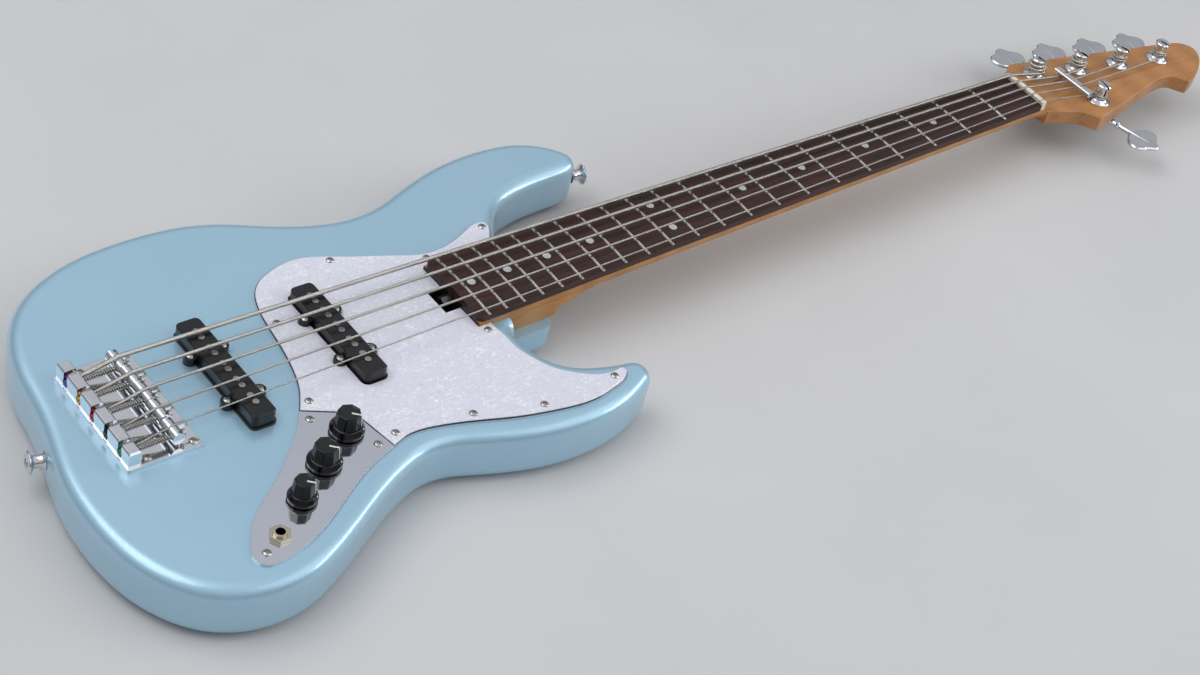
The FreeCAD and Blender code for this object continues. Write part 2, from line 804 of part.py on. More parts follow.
def head_outline():
    low = (HEAD_START + HEAD_SHIFT, -HEAD_START_HALF)
    high = (HEAD_START + HEAD_SHIFT, HEAD_START_HALF)
    throat = moved(HEAD_TREBLE_THROAT)
    hook = moved(HEAD_HOOK)
    tip = moved(HEAD_TIP)
    bass = moved(HEAD_BASS_THROAT)
    bend = moved([HEAD_BASS_CORNER])[0]
    return [
        *smooth([low] + throat, (1, -0.1), (0.5, -0.86)),
        line(throat[-1], hook[0]),
        *smooth(hook, (0.982, 0.188), (0.6, -0.8)),
        *smooth(tip, (0.95, 0.3), (-0.98, 0.2)),
        line(tip[-1], bend),
        *smooth([bend] + bass + [high], (-0.98, 0.1), (-0.9, -0.3)),
        line(high, low),
    ]


head_block = slab(face_of(head_outline()), REAR, FACE)
rim = [edge for edge in head_block.Edges if level_edge(FACE)(edge) and edge.BoundBox.XLength > 0.01]
head_block = head_block.makeFillet(mm("head_edge_radius"), rim)
neck_solid = heel_block.fuse([shaft_loft, head_block]).removeSplitter()

row_turn = math.radians(ROW_ANGLE)
posts = []
for step in range(STRINGS - 1):
    along = step * mm("tuner_pitch")
    x = FIRST_POST[0] + HEAD_SHIFT + along * math.cos(row_turn)
    posts.append((x, FIRST_POST[1] + along * math.sin(row_turn)))
posts.append((TREBLE_POST[0] + HEAD_SHIFT, TREBLE_POST[1]))
retainer_x = RETAINER_SPOT[0] + HEAD_SHIFT
retainer_y = RETAINER_SPOT[1]


def on_tuner(shape, number):
    """Tuner piece carried from its own axes to its post; the treble one is a mirror image."""
    last = number == STRINGS - 1
    built = shape.mirror(Vector(), ACROSS) if last else shape.copy()
    built.rotate(Vector(), UP, TREBLE_ANGLE if last else ROW_ANGLE)
    x, y = posts[number]
    built.translate(Vector(x, y, REAR))
    return built


ROD_SLOT_GAP = 0.15
rod_slot_depth = mm("rod_depth") + mm("rod_radius")
neck_cuts = [Part.makeBox(
    NUT_X - 20 - HEEL_X, 2 * (mm("rod_radius") + ROD_SLOT_GAP), rod_slot_depth,
    Vector(HEEL_X - 1, -mm("rod_radius") - ROD_SLOT_GAP, UNDER - rod_slot_depth))]
BUSHING_SIDES = 20
for number in range(STRINGS):
    hole = prism(mm("bushing_radius") + mm("pilot_gap"), BUSHING_SIDES, -1, mm("head_thickness") + 1)
    neck_cuts.append(on_tuner(hole, number))
    for x, y in TUNER_SCREWS:
        neck_cuts.append(on_tuner(at(turn(small_pilot(), 180, ALONG), x, y, 0), number))
for offset in RETAINER_SCREWS:
    neck_cuts.append(at(small_pilot(), retainer_x, retainer_y + offset, FACE))
neck_pilot = prism(
    mm("neck_screw_radius") + mm("pilot_gap"), SCREW_SIDES, -PILOT_LEAD, mm("neck_screw_reach") + 0.5)
for x, y in neck_holes:
    neck_cuts.append(at(neck_pilot, x, y, FLOOR))
piece("neck", neck_solid.cut(neck_cuts))

# Truss rod with its adjusting nut at the heel
ROD_LINK = 1.2
rod_length = NUT_X - 24 - HEEL_X + ROD_LINK
rod = Part.makeCylinder(mm("rod_radius"), rod_length, Vector(HEEL_X - ROD_LINK, 0, 0), ALONG)
rod_nut = turn(prism(mm("rod_nut_radius"), 6, 0, mm("rod_nut_length")), 90, ACROSS)
rod_nut = at(rod_nut, HEEL_X - mm("rod_nut_length") - mm("hole_gap"), 0, 0)
piece("truss_rod", rod.fuse(rod_nut).removeSplitter(), 0, 0, UNDER - mm("rod_depth"))

# Fingerboard, frets, dots and nut
board = slab(face_of(ring([
    (HEEL_X, half_width(HEEL_X)), (NUT_X, half_width(NUT_X)),
    (NUT_X, -half_width(NUT_X)), (HEEL_X, -half_width(HEEL_X)),
])), UNDER, CROWN + 1)
BOARD_CORNER = 5.0
board = board.makeFillet(BOARD_CORNER, [
    edge for edge in board.Edges if edge.BoundBox.ZLength > 1 and edge.BoundBox.XMax < HEEL_X + 1])
crown = Part.makeCylinder(mm("board_radius"), NUT_X, Vector(HEEL_X - 10, 0, CROWN_AXIS), ALONG)


def dot_spots():
    spots = []
    for number in DOT_FRETS:
        x = (fret_x(number) + fret_x(number - 1)) / 2
        spread = (mm("double_dot_spread"), -mm("double_dot_spread")) if number == 12 else (0.0,)
        spots += [(x, y) for y in spread]
    return spots


DOT_SIDES = 24
dots = []
dot_seats = []
for x, y in dot_spots():
    base = CROWN - crown_drop(y) - mm("dot_depth")
    dots.append(at(prism(mm("dot_radius"), DOT_SIDES, 0, mm("dot_depth")), x, y, base))
    seat = prism(mm("dot_radius") + mm("seat_gap"), DOT_SIDES, -mm("seat_gap"), mm("dot_depth") + 2)
    dot_seats.append(at(seat, x, y, base))
piece("fingerboard", board.common(crown).cut(dot_seats))
group("position_dots", dots)

frets = []
for number in range(1, int(mm("fret_count")) + 1):
    low = CROWN + mm("seat_gap")
    high = low + mm("fret_height")
    a = mm("fret_width") / 2
    sweep = math.degrees(math.asin((half_width(fret_x(number)) - 0.3) / mm("board_radius")))
    corners = [(-a, low), (-a, low + 0.3), (-a * 0.5, high), (a * 0.5, high), (a, low + 0.3), (a, low)]
    profile = Part.Face(Part.makePolygon(
        [Vector(fret_x(number) + x, 0, z) for x, z in corners + corners[:1]]))
    profile.rotate(Vector(0, 0, CROWN_AXIS), ALONG, -sweep)
    frets.append(profile.revolve(Vector(0, 0, CROWN_AXIS), ALONG, 2 * sweep))
group("frets", frets)


# Routes of the strings
def string_y(number, spacing):
    return (MIDDLE - number) * spacing


def saddle_bend(number):
    y = string_y(number, mm("bridge_spacing"))
    return Vector(mm("saddle_station"), y, CROWN - crown_drop(y) + mm("saddle_action") + WIRES[number])


def nut_bend(number):
    y = string_y(number, mm("nut_spacing"))
    level = CROWN - crown_drop(y) + mm("nut_action") + WIRES[number]
    return Vector(NUT_X + mm("nut_thickness") / 2, y, level)


def ball_spot(number):
    inner = -mm("tail_back") + mm("ball_length")
    return Vector(inner, string_y(number, mm("bridge_spacing")), TOP + mm("ball_rise"))


def wrap_radius(number):
    return mm("post_radius") + WIRES[number] + mm("touch_gap")


def wrap_side(number):
    """Sense of the winding seen from above: the treble post winds the other way."""
    return -1 if number == STRINGS - 1 else 1


def wrap_start(number, before):
    """Angle at which a string coming from a spot first touches its post."""
    x, y = posts[number]
    away = Vector(before.x - x, before.y - y, 0)
    return math.atan2(away.y, away.x) + wrap_side(number) * math.acos(wrap_radius(number) / away.Length)


def wrap_pitch(number):
    return 2 * WIRES[number] + mm("wrap_gap")


def wrap_low(number):
    return FACE + mm("bushing_rise") + WIRES[number] + 0.5


def wrap_point(number, first, angle):
    """Spot and direction on the winding after a given turn."""
    x, y = posts[number]
    radius = wrap_radius(number)
    side = wrap_side(number)
    here = first + side * angle
    slope = wrap_pitch(number) / (2 * math.pi)
    spot = Vector(x + radius * math.cos(here), y + radius * math.sin(here), wrap_low(number) + slope * angle)
    direction = Vector(-side * radius * math.sin(here), side * radius * math.cos(here), slope)
    return spot, direction.normalize()


def retainer_bend(number):
    """Spot under the retainer bar on the way from the nut to the post."""
    start = nut_bend(number)
    first = wrap_start(number, start)
    end = wrap_point(number, first, 0)[0]
    share = (retainer_x - start.x) / (end.x - start.x)
    y = start.y + share * (end.y - start.y)
    return Vector(retainer_x, y, FACE + mm("retainer_rise") - WIRES[number] - mm("touch_gap"))

def bent_route(points, radii):
    """Straight runs through points with arcs at the bends; returns edges and arc centres."""
    edges = []
    centers = []
    here = points[0]
    for i in range(1, len(points) - 1):
        before = (points[i] - points[i - 1]).normalize()
        after = (points[i + 1] - points[i]).normalize()
        half_turn = math.acos(before.dot(after)) / 2
        reach = radii[i - 1] * math.tan(half_turn)
        start = points[i] - before * reach
        end = points[i] + after * reach
        inward = (after - before).normalize()
        center = points[i] + inward * (radii[i - 1] / math.cos(half_turn))
        edges.append(Part.LineSegment(here, start).toShape())
        edges.append(Part.Arc(start, center - inward * radii[i - 1], end).toShape())
        centers.append(center)
        here = end
    edges.append(Part.LineSegment(here, points[-1]).toShape())
    return edges, centers


def tube(edges, radius, sides):
    """Unbroken tube with a faceted section along tangent edges."""
    path = Part.Wire(edges)
    first = edges[0]
    start = first.valueAt(first.FirstParameter)
    heading = first.tangentAt(first.FirstParameter)
    lift = UP.cross(heading).normalize()
    other = heading.cross(lift)
    spots = [start + lift * spot.x + other * spot.y for spot in ring_spots(radius, sides)]
    return path, path.makePipeShell([Part.makePolygon(spots + spots[:1])], True, False)


def least_gap(path, radius, reach):
    """Smallest gap of a tube to itself, measured on points along its path."""
    points = path.discretize(Distance=radius)
    skip = int(reach / radius) + 1
    best = 1e9
    for i in range(0, len(points), 2):
        for j in range(i + skip, len(points), 2):
            best = min(best, (points[i] - points[j]).Length)
    return best - 2 * radius


RETAINER_BEND_RADIUS = 8.0
NUT_BEND_RADIUS = 12.0
QUARTER = math.pi / 2
ENTRY_TURN = math.radians(55)
ENTRY_RUN = 6.0
ENTRY_RISE = 0.3
SLOT_GAP = 0.45
STRING_SIDES = 6
strings = []
saddle_centers = []
slot_angles = []
slot_levels = []


def saddle_path_radius(number):
    """Radius of a string's path round its saddle's axis."""
    return mm("saddle_radius") - mm("saddle_groove") + WIRES[number]


for number in range(STRINGS):
    wire = WIRES[number]
    bends = [saddle_bend(number), nut_bend(number)]
    bend_radii = [saddle_path_radius(number), NUT_BEND_RADIUS]
    if number > 0:
        bends.append(retainer_bend(number))
        bend_radii.append(RETAINER_BEND_RADIUS)
    first = wrap_start(number, bends[-1])
    touch = wrap_point(number, first, 0)[0]
    approach = (touch - bends[-1]).normalize()
    leave = touch - approach * ENTRY_RUN
    route, centers = bent_route([ball_spot(number)] + bends + [leave], bend_radii)
    saddle_centers.append(Vector(centers[0].x, bends[0].y, centers[0].z))
    spot, way = wrap_point(number, first, QUARTER / 2)
    route += biarc(leave, approach, spot, way)
    turned_by = QUARTER / 2
    while turned_by < mm("wrap_turns") * 2 * math.pi - QUARTER / 2:
        onward, onward_way = wrap_point(number, first, turned_by + QUARTER)
        route += biarc(spot, way, onward, onward_way)
        spot, way = onward, onward_way
        turned_by += QUARTER
    slot_angle = first + wrap_side(number) * (turned_by + ENTRY_TURN)
    inward = Vector(-math.cos(slot_angle), -math.sin(slot_angle), 0)
    x, y = posts[number]
    mouth = Vector(x, y, spot.z + ENTRY_RISE) - inward * (mm("post_radius") - 0.5)
    route += biarc(spot, way, mouth, inward)
    route.append(Part.LineSegment(mouth, mouth + inward * (2 * wire + 0.2)).toShape())
    slot_angles.append(slot_angle)
    slot_levels.append(mouth.z - wire - SLOT_GAP)
    path, cord = tube(route, wire, STRING_SIDES)
    share = STRING_SIDES / (2 * math.pi) * math.sin(2 * math.pi / STRING_SIDES)
    expected = math.pi * wire * wire * share * path.Length
    gap = least_gap(Part.Wire(route[-12:]), wire, math.pi * wrap_radius(number))
    print("string", number + 1, "length", round(path.Length, 1),
          "volume share", round(cord.Volume / expected, 4), "least gap", round(gap, 2))
    strings.append(cord)

BALL_SIDES = 12
ball_waist = mm("ball_radius") * 0.75
ball_third = mm("ball_length") / 3
BALL_PROFILE = [
    (0, 0), (mm("ball_radius"), 0), (mm("ball_radius"), ball_third), (ball_waist, mm("ball_length") / 2),
    (mm("ball_radius"), 2 * ball_third), (mm("ball_radius"), mm("ball_length")), (0, mm("ball_length")),
]
for number in range(STRINGS):
    ball = turn(faceted(BALL_PROFILE, BALL_SIDES), 90, ACROSS)
    spot = ball_spot(number)
    ball = at(ball, spot.x - mm("ball_length") - mm("seat_gap"), spot.y, spot.z)
    group(f"string_{number + 1}", [strings[number], ball])

# Nut with its string slots
nut_block = Part.makeBox(
    mm("nut_thickness"), 2 * half_width(NUT_X), CROWN + mm("nut_rise") + 1 - UNDER,
    Vector(NUT_X + mm("seat_gap"), -half_width(NUT_X), UNDER + mm("seat_gap")))
nut_crown = Part.makeCylinder(
    mm("board_radius") + mm("nut_rise"), 2 * mm("nut_thickness"), Vector(NUT_X - 1, 0, CROWN_AXIS), ALONG)
nut_cuts = []
for number in range(STRINGS):
    bend = nut_bend(number)
    before = saddle_bend(number)
    after = retainer_bend(number) if number > 0 else wrap_point(0, wrap_start(0, bend), 0)[0]
    slot_radius = WIRES[number] + 0.08
    for far in (before, after):
        way = (far - bend).normalize()
        nut_cuts.append(Part.makeCylinder(slot_radius, 8, bend - way * 0.5, way))
    nut_cuts.append(Part.makeBox(12, 2 * slot_radius, 6, Vector(bend.x - 6, bend.y - slot_radius, bend.z)))
piece("nut", nut_block.common(nut_crown).cut(nut_cuts))

# Neck plate and its screws
neck_plate = new_body("neck_plate")
block = neck_plate.newObject("PartDesign::AdditiveBox", "plate_block")
block.setExpression("Length", "Sizes.plate_length")
block.setExpression("Width", "Sizes.plate_width")
block.setExpression("Height", "Sizes.plate_thickness")
neck_plate.Tip = block
doc.recompute()
dress(neck_plate, "Fillet", "Sizes.plate_corner", lambda edge: edge.BoundBox.ZLength > 1)
plate_middle = (mm("plate_length") / 2, mm("plate_width") / 2)
head_hole = mm("neck_screw_head") + mm("hole_gap")
plate_holes = [
    circle(plate_middle[0] + i * mm("neck_screw_span_long") / 2,
           plate_middle[1] + j * mm("neck_screw_span_wide") / 2, head_hole)
    for i in (-1, 1) for j in (-1, 1)
]
pocket(neck_plate, plate_holes, "Sizes.plate_thickness", "Sizes.plate_thickness")
place(neck_plate, -SADDLE_X - plate_middle[0], -plate_middle[1], 0)

screw_top = FLOOR + mm("neck_screw_reach")
head_seat = BACK - mm("seat_gap")
neck_screw = faceted([
    (0, mm("head_sink")), (mm("neck_screw_head"), mm("head_sink")), (mm("neck_screw_head"), head_seat),
    (mm("neck_screw_radius"), head_seat), (mm("neck_screw_radius"), screw_top), (0, screw_top),
], SCREW_SIDES)
group("neck_screws", [at(neck_screw, x, y, 0) for x, y in neck_holes])

# Pickguard
guard = new_body("pickguard")
edge_gap = mm("panel_gap") + mm("pocket_gap")


def neck_side(x, side):
    return (x, side * (half_width(x) + edge_gap))


guard_start = neck_side(GUARD_BASS[0][0], 1)
guard_end = neck_side(GUARD_TREBLE[-1][0], -1)
guard_loop = [
    line(guard_start, GUARD_BASS[0]),
    *smooth(GUARD_BASS, (0.5, 0.86), (-0.52, -0.85)),
    line(GUARD_BASS[-1], PANEL_CORNER),
    line(PANEL_CORNER, PANEL_END),
    *smooth(GUARD_TREBLE, (0.97, 0.26), (0, 1)),
    line(GUARD_TREBLE[-1], guard_end),
]
heel_edge = HEEL_X - edge_gap
notch = HEEL_X - mm("recess_length")
guard_loop += chain([
    guard_end, (heel_edge, -half_width(heel_edge) - edge_gap), (heel_edge, -mm("recess_half_width")),
    (notch, -mm("recess_half_width")), (notch, mm("recess_half_width")), (heel_edge, mm("recess_half_width")),
    (heel_edge, half_width(heel_edge) + edge_gap), guard_start,
])
pad(guard, guard_loop, "Sizes.guard_thickness")


def outer_edge(edge):
    """Curved top edge of the pickguard, away from neck and control plate."""
    return level_edge(mm("guard_thickness"))(edge) and edge.Curve.TypeId == "Part::GeomCircle"


dress(guard, "Chamfer", "Sizes.guard_bevel", outer_edge)
lip = mm("pickup_lip") + mm("panel_gap")
guard_cut = rounded(
    NECK_PICKUP_X, 0, mm("pickup_width") + 2 * lip, mm("neck_pickup_length") + 2 * lip,
    mm("pickup_corner") + lip)
pocket(guard, guard_cut, "Sizes.guard_thickness", "Sizes.guard_thickness")
ear_cut = mm("ear_radius") + mm("panel_gap")
screw_hole = mm("screw_radius") + mm("hole_gap")
guard_holes = []
for x, y in GUARD_SCREWS:
    guard_holes += gon(x, y, screw_hole, SCREW_SIDES)
pocket(guard, guard_holes, "Sizes.guard_thickness", "Sizes.guard_thickness")
guard_ears = [circle(x, y, ear_cut) for x, y in ear_spots(NECK_PICKUP_X, NECK_EAR_Y)]
pocket(guard, guard_ears, "Sizes.guard_thickness", "Sizes.guard_thickness")
place(guard, 0, 0, TOP)

# Control plate
control = new_body("control_plate")
shift = mm("panel_gap")
control_start = (CONTROL_EDGE[0][0], CONTROL_EDGE[0][1] - shift)
control_end = (CONTROL_EDGE[-1][0] - shift / 2, CONTROL_EDGE[-1][1] - shift)
control_corner = (PANEL_CORNER[0] - shift, PANEL_CORNER[1] - shift)
control_tip = (PANEL_END[0] - shift, PANEL_END[1] - shift / 4)
control_loop = [
    *smooth([control_start] + CONTROL_EDGE[1:-1] + [control_end], (-0.94, -0.34), (0.63, 0.78)),
    line(control_end, control_corner), line(control_corner, control_tip), line(control_tip, control_start),
]
pad(control, control_loop, "Sizes.control_thickness")
control_holes = [circle(x, y, mm("pot_bushing_radius") + mm("hole_gap")) for x, y in KNOB_SPOTS]
control_holes.append(circle(*JACK_SPOT, mm("jack_sleeve_radius") + mm("hole_gap")))
for x, y in CONTROL_SCREWS:
    control_holes += gon(x, y, screw_hole, SCREW_SIDES)
pocket(control, control_holes, "Sizes.control_thickness", "Sizes.control_thickness")
place(control, 0, 0, TOP)

CONTROL_TOP = TOP + mm("control_thickness")
group("plate_screws", [at(wood_screw(mm("guard_thickness")), x, y, TOP) for x, y in GUARD_SCREWS]
      + [at(wood_screw(mm("control_thickness")), x, y, TOP) for x, y in CONTROL_SCREWS])
group("bridge_screws", [at(wood_screw(mm("bridge_plate_height")), x, y, TOP) for x, y in BRIDGE_SCREWS])
group("pickup_screws", [at(wood_screw(mm("ear_height")), x, y, TOP) for x, y in ear_screw_spots])

# Potentiometers, shafts, nuts and jack
SHAFT_SIDES = 16
POT_SIDES = 20
POT_FLOOR = 2.0
shaft_hole = outside(mm("pot_shaft_radius") + mm("running_gap"), POT_SIDES)
pot_floor = -mm("pot_height") + POT_FLOOR
pot_top = mm("control_thickness") + mm("pot_bushing_rise")
pot = faceted([
    (0, -mm("pot_height")), (mm("pot_radius"), -mm("pot_height")), (mm("pot_radius"), 0),
    (mm("pot_bushing_radius"), 0), (mm("pot_bushing_radius"), pot_top), (shaft_hole, pot_top),
    (shaft_hole, pot_floor), (0, pot_floor),
], POT_SIDES)
group("pots", [at(pot, x, y, TOP - mm("seat_gap")) for x, y in KNOB_SPOTS])


def hex_nut(across, bore, height):
    """Hexagon nut by its width across flats."""
    return prism(outside(across / 2, 6), 6, 0, height).cut(Part.makeCylinder(bore, height))


POT_NUT_HEIGHT = 2.2
JACK_NUT_HEIGHT = 2.9
pot_nut = hex_nut(mm("pot_nut_across"), mm("pot_bushing_radius") + mm("seat_gap"), POT_NUT_HEIGHT)
jack_nut = hex_nut(mm("jack_nut_across"), mm("jack_sleeve_radius") + mm("seat_gap"), JACK_NUT_HEIGHT)
nut_level = CONTROL_TOP + mm("seat_gap")
panel_nuts = [at(pot_nut, x, y, nut_level) for x, y in KNOB_SPOTS]
group("panel_nuts", panel_nuts + [at(jack_nut, *JACK_SPOT, nut_level)])
JACK_COLLAR = 7.5
JACK_FLOOR = 2.0
jack_top = mm("control_thickness") + mm("jack_rise")
jack_low = -mm("jack_length")
jack = turned([
    (mm("jack_bore"), jack_top), (mm("jack_sleeve_radius"), jack_top), (mm("jack_sleeve_radius"), 0),
    (JACK_COLLAR, 0), (JACK_COLLAR, jack_low), (0, jack_low), (0, jack_low + JACK_FLOOR),
    (mm("jack_bore"), jack_low + JACK_FLOOR),
])
piece("output_jack", jack, *JACK_SPOT, TOP - mm("seat_gap"))

KNOB_NAMES = ["neck_volume", "bridge_volume", "tone"]
KNOB_SIDES = 8
FLANGE_SIDES = 32
KNOB_GRIP = 0.79
KNOB_TAPER = 0.86
FLANGE_SLOPE = 3.0
FLANGE_TOP_SHARE = 0.82
HANDLE_SINK = 0.5
KNOB_CAVITY = 7.4
KNOB_CAVITY_HEIGHT = POT_NUT_HEIGHT + 3.0
shaft_low = pot_floor + mm("running_gap")
shaft_high = mm("control_thickness") + mm("pot_shaft_rise")


def knob(rim):
    """Control knob: eight-sided grip on a sloping flange, hollow over the nut, bored for the shaft."""
    low = mm("knob_lift")
    flange_top = low + mm("knob_flange_height")
    grip = rim * KNOB_GRIP
    flange = faceted([
        (0, low), (rim, low), (rim, flange_top - FLANGE_SLOPE), (rim * FLANGE_TOP_SHARE, flange_top),
        (0, flange_top),
    ], FLANGE_SIDES)
    handle = stitched([ring_spots(grip, KNOB_SIDES, flange_top - HANDLE_SINK),
                       ring_spots(grip * KNOB_TAPER, KNOB_SIDES, mm("knob_height"))])
    cavity = prism(KNOB_CAVITY, POT_SIDES, 0, KNOB_CAVITY_HEIGHT)
    bore_depth = mm("pot_shaft_rise") + mm("seat_gap")
    bore = prism(mm("pot_shaft_radius") + mm("seat_gap"), SHAFT_SIDES, 0, bore_depth)
    return flange.fuse(handle).cut([cavity, bore]).removeSplitter()


for name, (x, y) in zip(KNOB_NAMES, KNOB_SPOTS):
    rim_radius = mm("small_knob_radius" if name == "tone" else "large_knob_radius")
    piece(name + "_knob", knob(rim_radius), x, y, CONTROL_TOP)
    piece(name + "_shaft", prism(mm("pot_shaft_radius"), SHAFT_SIDES, shaft_low, shaft_high), x, y, TOP)


# Pickups
def pole_spots(x, spacing):
    rows = [(string_y(number, spacing), side) for number in range(STRINGS) for side in (1, -1)]
    return [(x, y + side * mm("pole_half_pitch")) for y, side in rows]


def pickup(label, x, length_word, ear_y, spacing):
    """Pickup cover with a base lip, screw ears, a hollow below and holes for the poles."""
    length = mm(length_word)
    width = mm("pickup_width")
    lip = mm("pickup_lip")
    wall = mm("pickup_wall")
    radius = mm("pickup_corner")
    ears = ear_spots(0, ear_y)
    cover = new_body(label)
    pad(cover, rounded(0, 0, width, length, radius), "Sizes.pickup_rise + Sizes.pickup_depth",
        "-Sizes.pickup_depth")
    dress(cover, "Chamfer", "Sizes.pickup_wall * 0.7", level_edge(mm("pickup_rise")))
    pad(cover, rounded(0, 0, width + 2 * lip, length + 2 * lip, radius + lip), "Sizes.pickup_lip_height")
    pad(cover, [circle(ex, ey, mm("ear_radius")) for ex, ey in ears], "Sizes.ear_height")
    pocket(cover, rounded(0, 0, width - 2 * wall, length - 2 * wall, radius - wall),
           "Sizes.pickup_rise + Sizes.pickup_depth - Sizes.pickup_wall",
           "Sizes.pickup_rise - Sizes.pickup_wall")
    holes = []
    for px, py in pole_spots(0, spacing):
        holes += gon(px, py, mm("pole_radius") + mm("pilot_gap"), POLE_SIDES)
    pocket(cover, holes, "2 * Sizes.pickup_wall", "Sizes.pickup_rise + Sizes.pickup_wall / 2")
    screw_holes = []
    for ex, ey in ears:
        screw_holes += gon(ex, ey, screw_hole, SCREW_SIDES)
    pocket(cover, screw_holes, "Sizes.ear_height", "Sizes.ear_height")
    return place(cover, x, 0, TOP)


POLE_SIDES = 16
pickup("bridge_pickup_cover", BRIDGE_PICKUP_X, "bridge_pickup_length", BRIDGE_EAR_Y, BRIDGE_POLE_SPACING)
pickup("neck_pickup_cover", NECK_PICKUP_X, "neck_pickup_length", NECK_EAR_Y, NECK_POLE_SPACING)
pole = prism(mm("pole_radius"), POLE_SIDES, 1 - mm("pickup_depth"), mm("pickup_rise") + mm("pole_rise"))
spots = pole_spots(BRIDGE_PICKUP_X, BRIDGE_POLE_SPACING) + pole_spots(NECK_PICKUP_X, NECK_POLE_SPACING)
group("pickup_poles", [at(pole, x, y, TOP) for x, y in spots])


def coil(x, length_word, spacing):
    """Winding round a row of poles."""
    gap = 2 * (mm("pickup_wall") + mm("hole_gap"))
    corner_radius = mm("pickup_corner") - mm("pickup_wall")
    outer = rounded(x, 0, mm("pickup_width") - gap, mm(length_word) - gap, corner_radius)
    radius = mm("pole_radius") + mm("hole_gap")
    reach = string_y(0, spacing) + mm("pole_half_pitch")
    inner = stadium((x, -reach), (x, reach), radius)
    high = TOP + mm("pickup_rise") - mm("pickup_wall") - mm("seat_gap")
    return slab(face_of(outer, inner), high - mm("coil_height"), high)


group("pickup_coils", [
    coil(BRIDGE_PICKUP_X, "bridge_pickup_length", BRIDGE_POLE_SPACING),
    coil(NECK_PICKUP_X, "neck_pickup_length", NECK_POLE_SPACING)])

# Bridge
BRIDGE_CORNER = 1.5
RIB_START = 8.6
RIB_MARGIN = 0.5
bridge = new_body("bridge_plate")
bridge_middle = (mm("bridge_front") - mm("bridge_back")) / 2
bridge_length = mm("bridge_front") + mm("bridge_back")
bridge_outline = rounded(bridge_middle, 0, bridge_length, 2 * mm("bridge_half_width"), BRIDGE_CORNER)
for x, y in BRIDGE_SCREWS:
    bridge_outline += gon(x, y, screw_hole, SCREW_SIDES)
pad(bridge, bridge_outline, "Sizes.bridge_plate_height")
tail = ring([
    (-mm("tail_back"), -mm("tail_half_width")), (-mm("tail_front"), -mm("tail_half_width")),
    (-mm("tail_front"), mm("tail_half_width")), (-mm("tail_back"), mm("tail_half_width"))])
pad(bridge, tail, "Sizes.tail_rise")
dress(bridge, "Chamfer", "1.2", level_edge(mm("tail_rise")))
rib = mm("rib_width") / 2
rib_end = mm("bridge_front") - rib - RIB_MARGIN
rib_loops = []
for number in range(STRINGS - 1):
    y = string_y(number + 0.5, mm("bridge_spacing"))
    rib_loops += [
        line((RIB_START, y - rib), (rib_end, y - rib)), corner((rib_end, y), rib, -90, 90),
        line((rib_end, y + rib), (RIB_START, y + rib)), line((RIB_START, y + rib), (RIB_START, y - rib)),
    ]
pad(bridge, rib_loops, "Sizes.bridge_plate_height + Sizes.rib_height")
slots = []
half_slot = mm("tail_slot_width") / 2
for number in range(STRINGS):
    y = string_y(number, mm("bridge_spacing"))
    slots += ring([(-mm("tail_back") - 2, y - half_slot), (-mm("tail_front") + 1, y - half_slot),
                   (-mm("tail_front") + 1, y + half_slot), (-mm("tail_back") - 2, y + half_slot)])
pocket(bridge, slots, "Sizes.tail_rise - Sizes.bridge_plate_height - 1", "Sizes.tail_rise")
screw_drills = []
for number in range(STRINGS):
    y = string_y(number, mm("bridge_spacing"))
    screw_drills.append(Part.makeCylinder(
        mm("ball_radius") + mm("hole_gap"), mm("ball_length") + 1,
        Vector(-mm("tail_back") - 1, y, mm("ball_rise")), ALONG))
    deep = mm("tail_back") - mm("tail_front") - 0.6
    screw_drills.append(Part.makeCylinder(
        mm("intonation_radius") + mm("running_gap"), deep,
        Vector(-mm("tail_front") - deep, y - mm("intonation_offset"), saddle_centers[number].z - TOP), ALONG))
bridge_drills = doc.addObject("Part::Feature", "bridge_drills")
bridge_drills.Shape = Part.makeCompound(screw_drills)
bridge_cut = doc.addObject("Part::Cut", "drilled_bridge")
bridge_cut.Base = bridge
bridge_cut.Tool = bridge_drills
bridge.Label = "solid_bridge"
bridge_cut.Label = "bridge_plate"
doc.recompute()
place(bridge_cut, 0, 0, TOP)

SET_SCREW_SIDES = 8
INTONATION_SIDES = 12
SLOT_WIDTH = 0.7
SLOT_DEPTH = 0.8


def saddle(number):
    """Barrel saddle about its own centre: string groove, screw bores and two set screws."""
    center = saddle_centers[number]
    half = mm("saddle_length") / 2
    barrel = Part.makeCylinder(mm("saddle_radius"), 2 * half, Vector(0, -half, 0), ACROSS)
    cuts = [Part.makeCylinder(mm("intonation_radius") + mm("running_gap"), 4 * half,
                              Vector(-2 * half, -mm("intonation_offset"), 0), ALONG)]
    bend = saddle_bend(number)
    for far in (ball_spot(number), nut_bend(number)):
        way = (far - bend).normalize()
        groove = WIRES[number] + mm("groove_gap")
        cuts.append(Part.makeCylinder(groove, 2 * half, bend - center - way * 0.5, way))
    low = TOP + mm("bridge_plate_height") + mm("running_gap") - center.z
    high = mm("saddle_radius") - SLOT_DEPTH
    screws = []
    for side in (-1, 1):
        x = mm("set_screw_lead")
        y = side * mm("set_screw_spread")
        hole = prism(mm("set_screw_radius") + mm("seat_gap"), SET_SCREW_SIDES, -2 * half, 2 * half)
        cuts.append(at(hole, x, y, 0))
        screws.append(at(prism(mm("set_screw_radius"), SET_SCREW_SIDES, low, high), x, y, 0))
    return [barrel.cut(cuts)] + screws


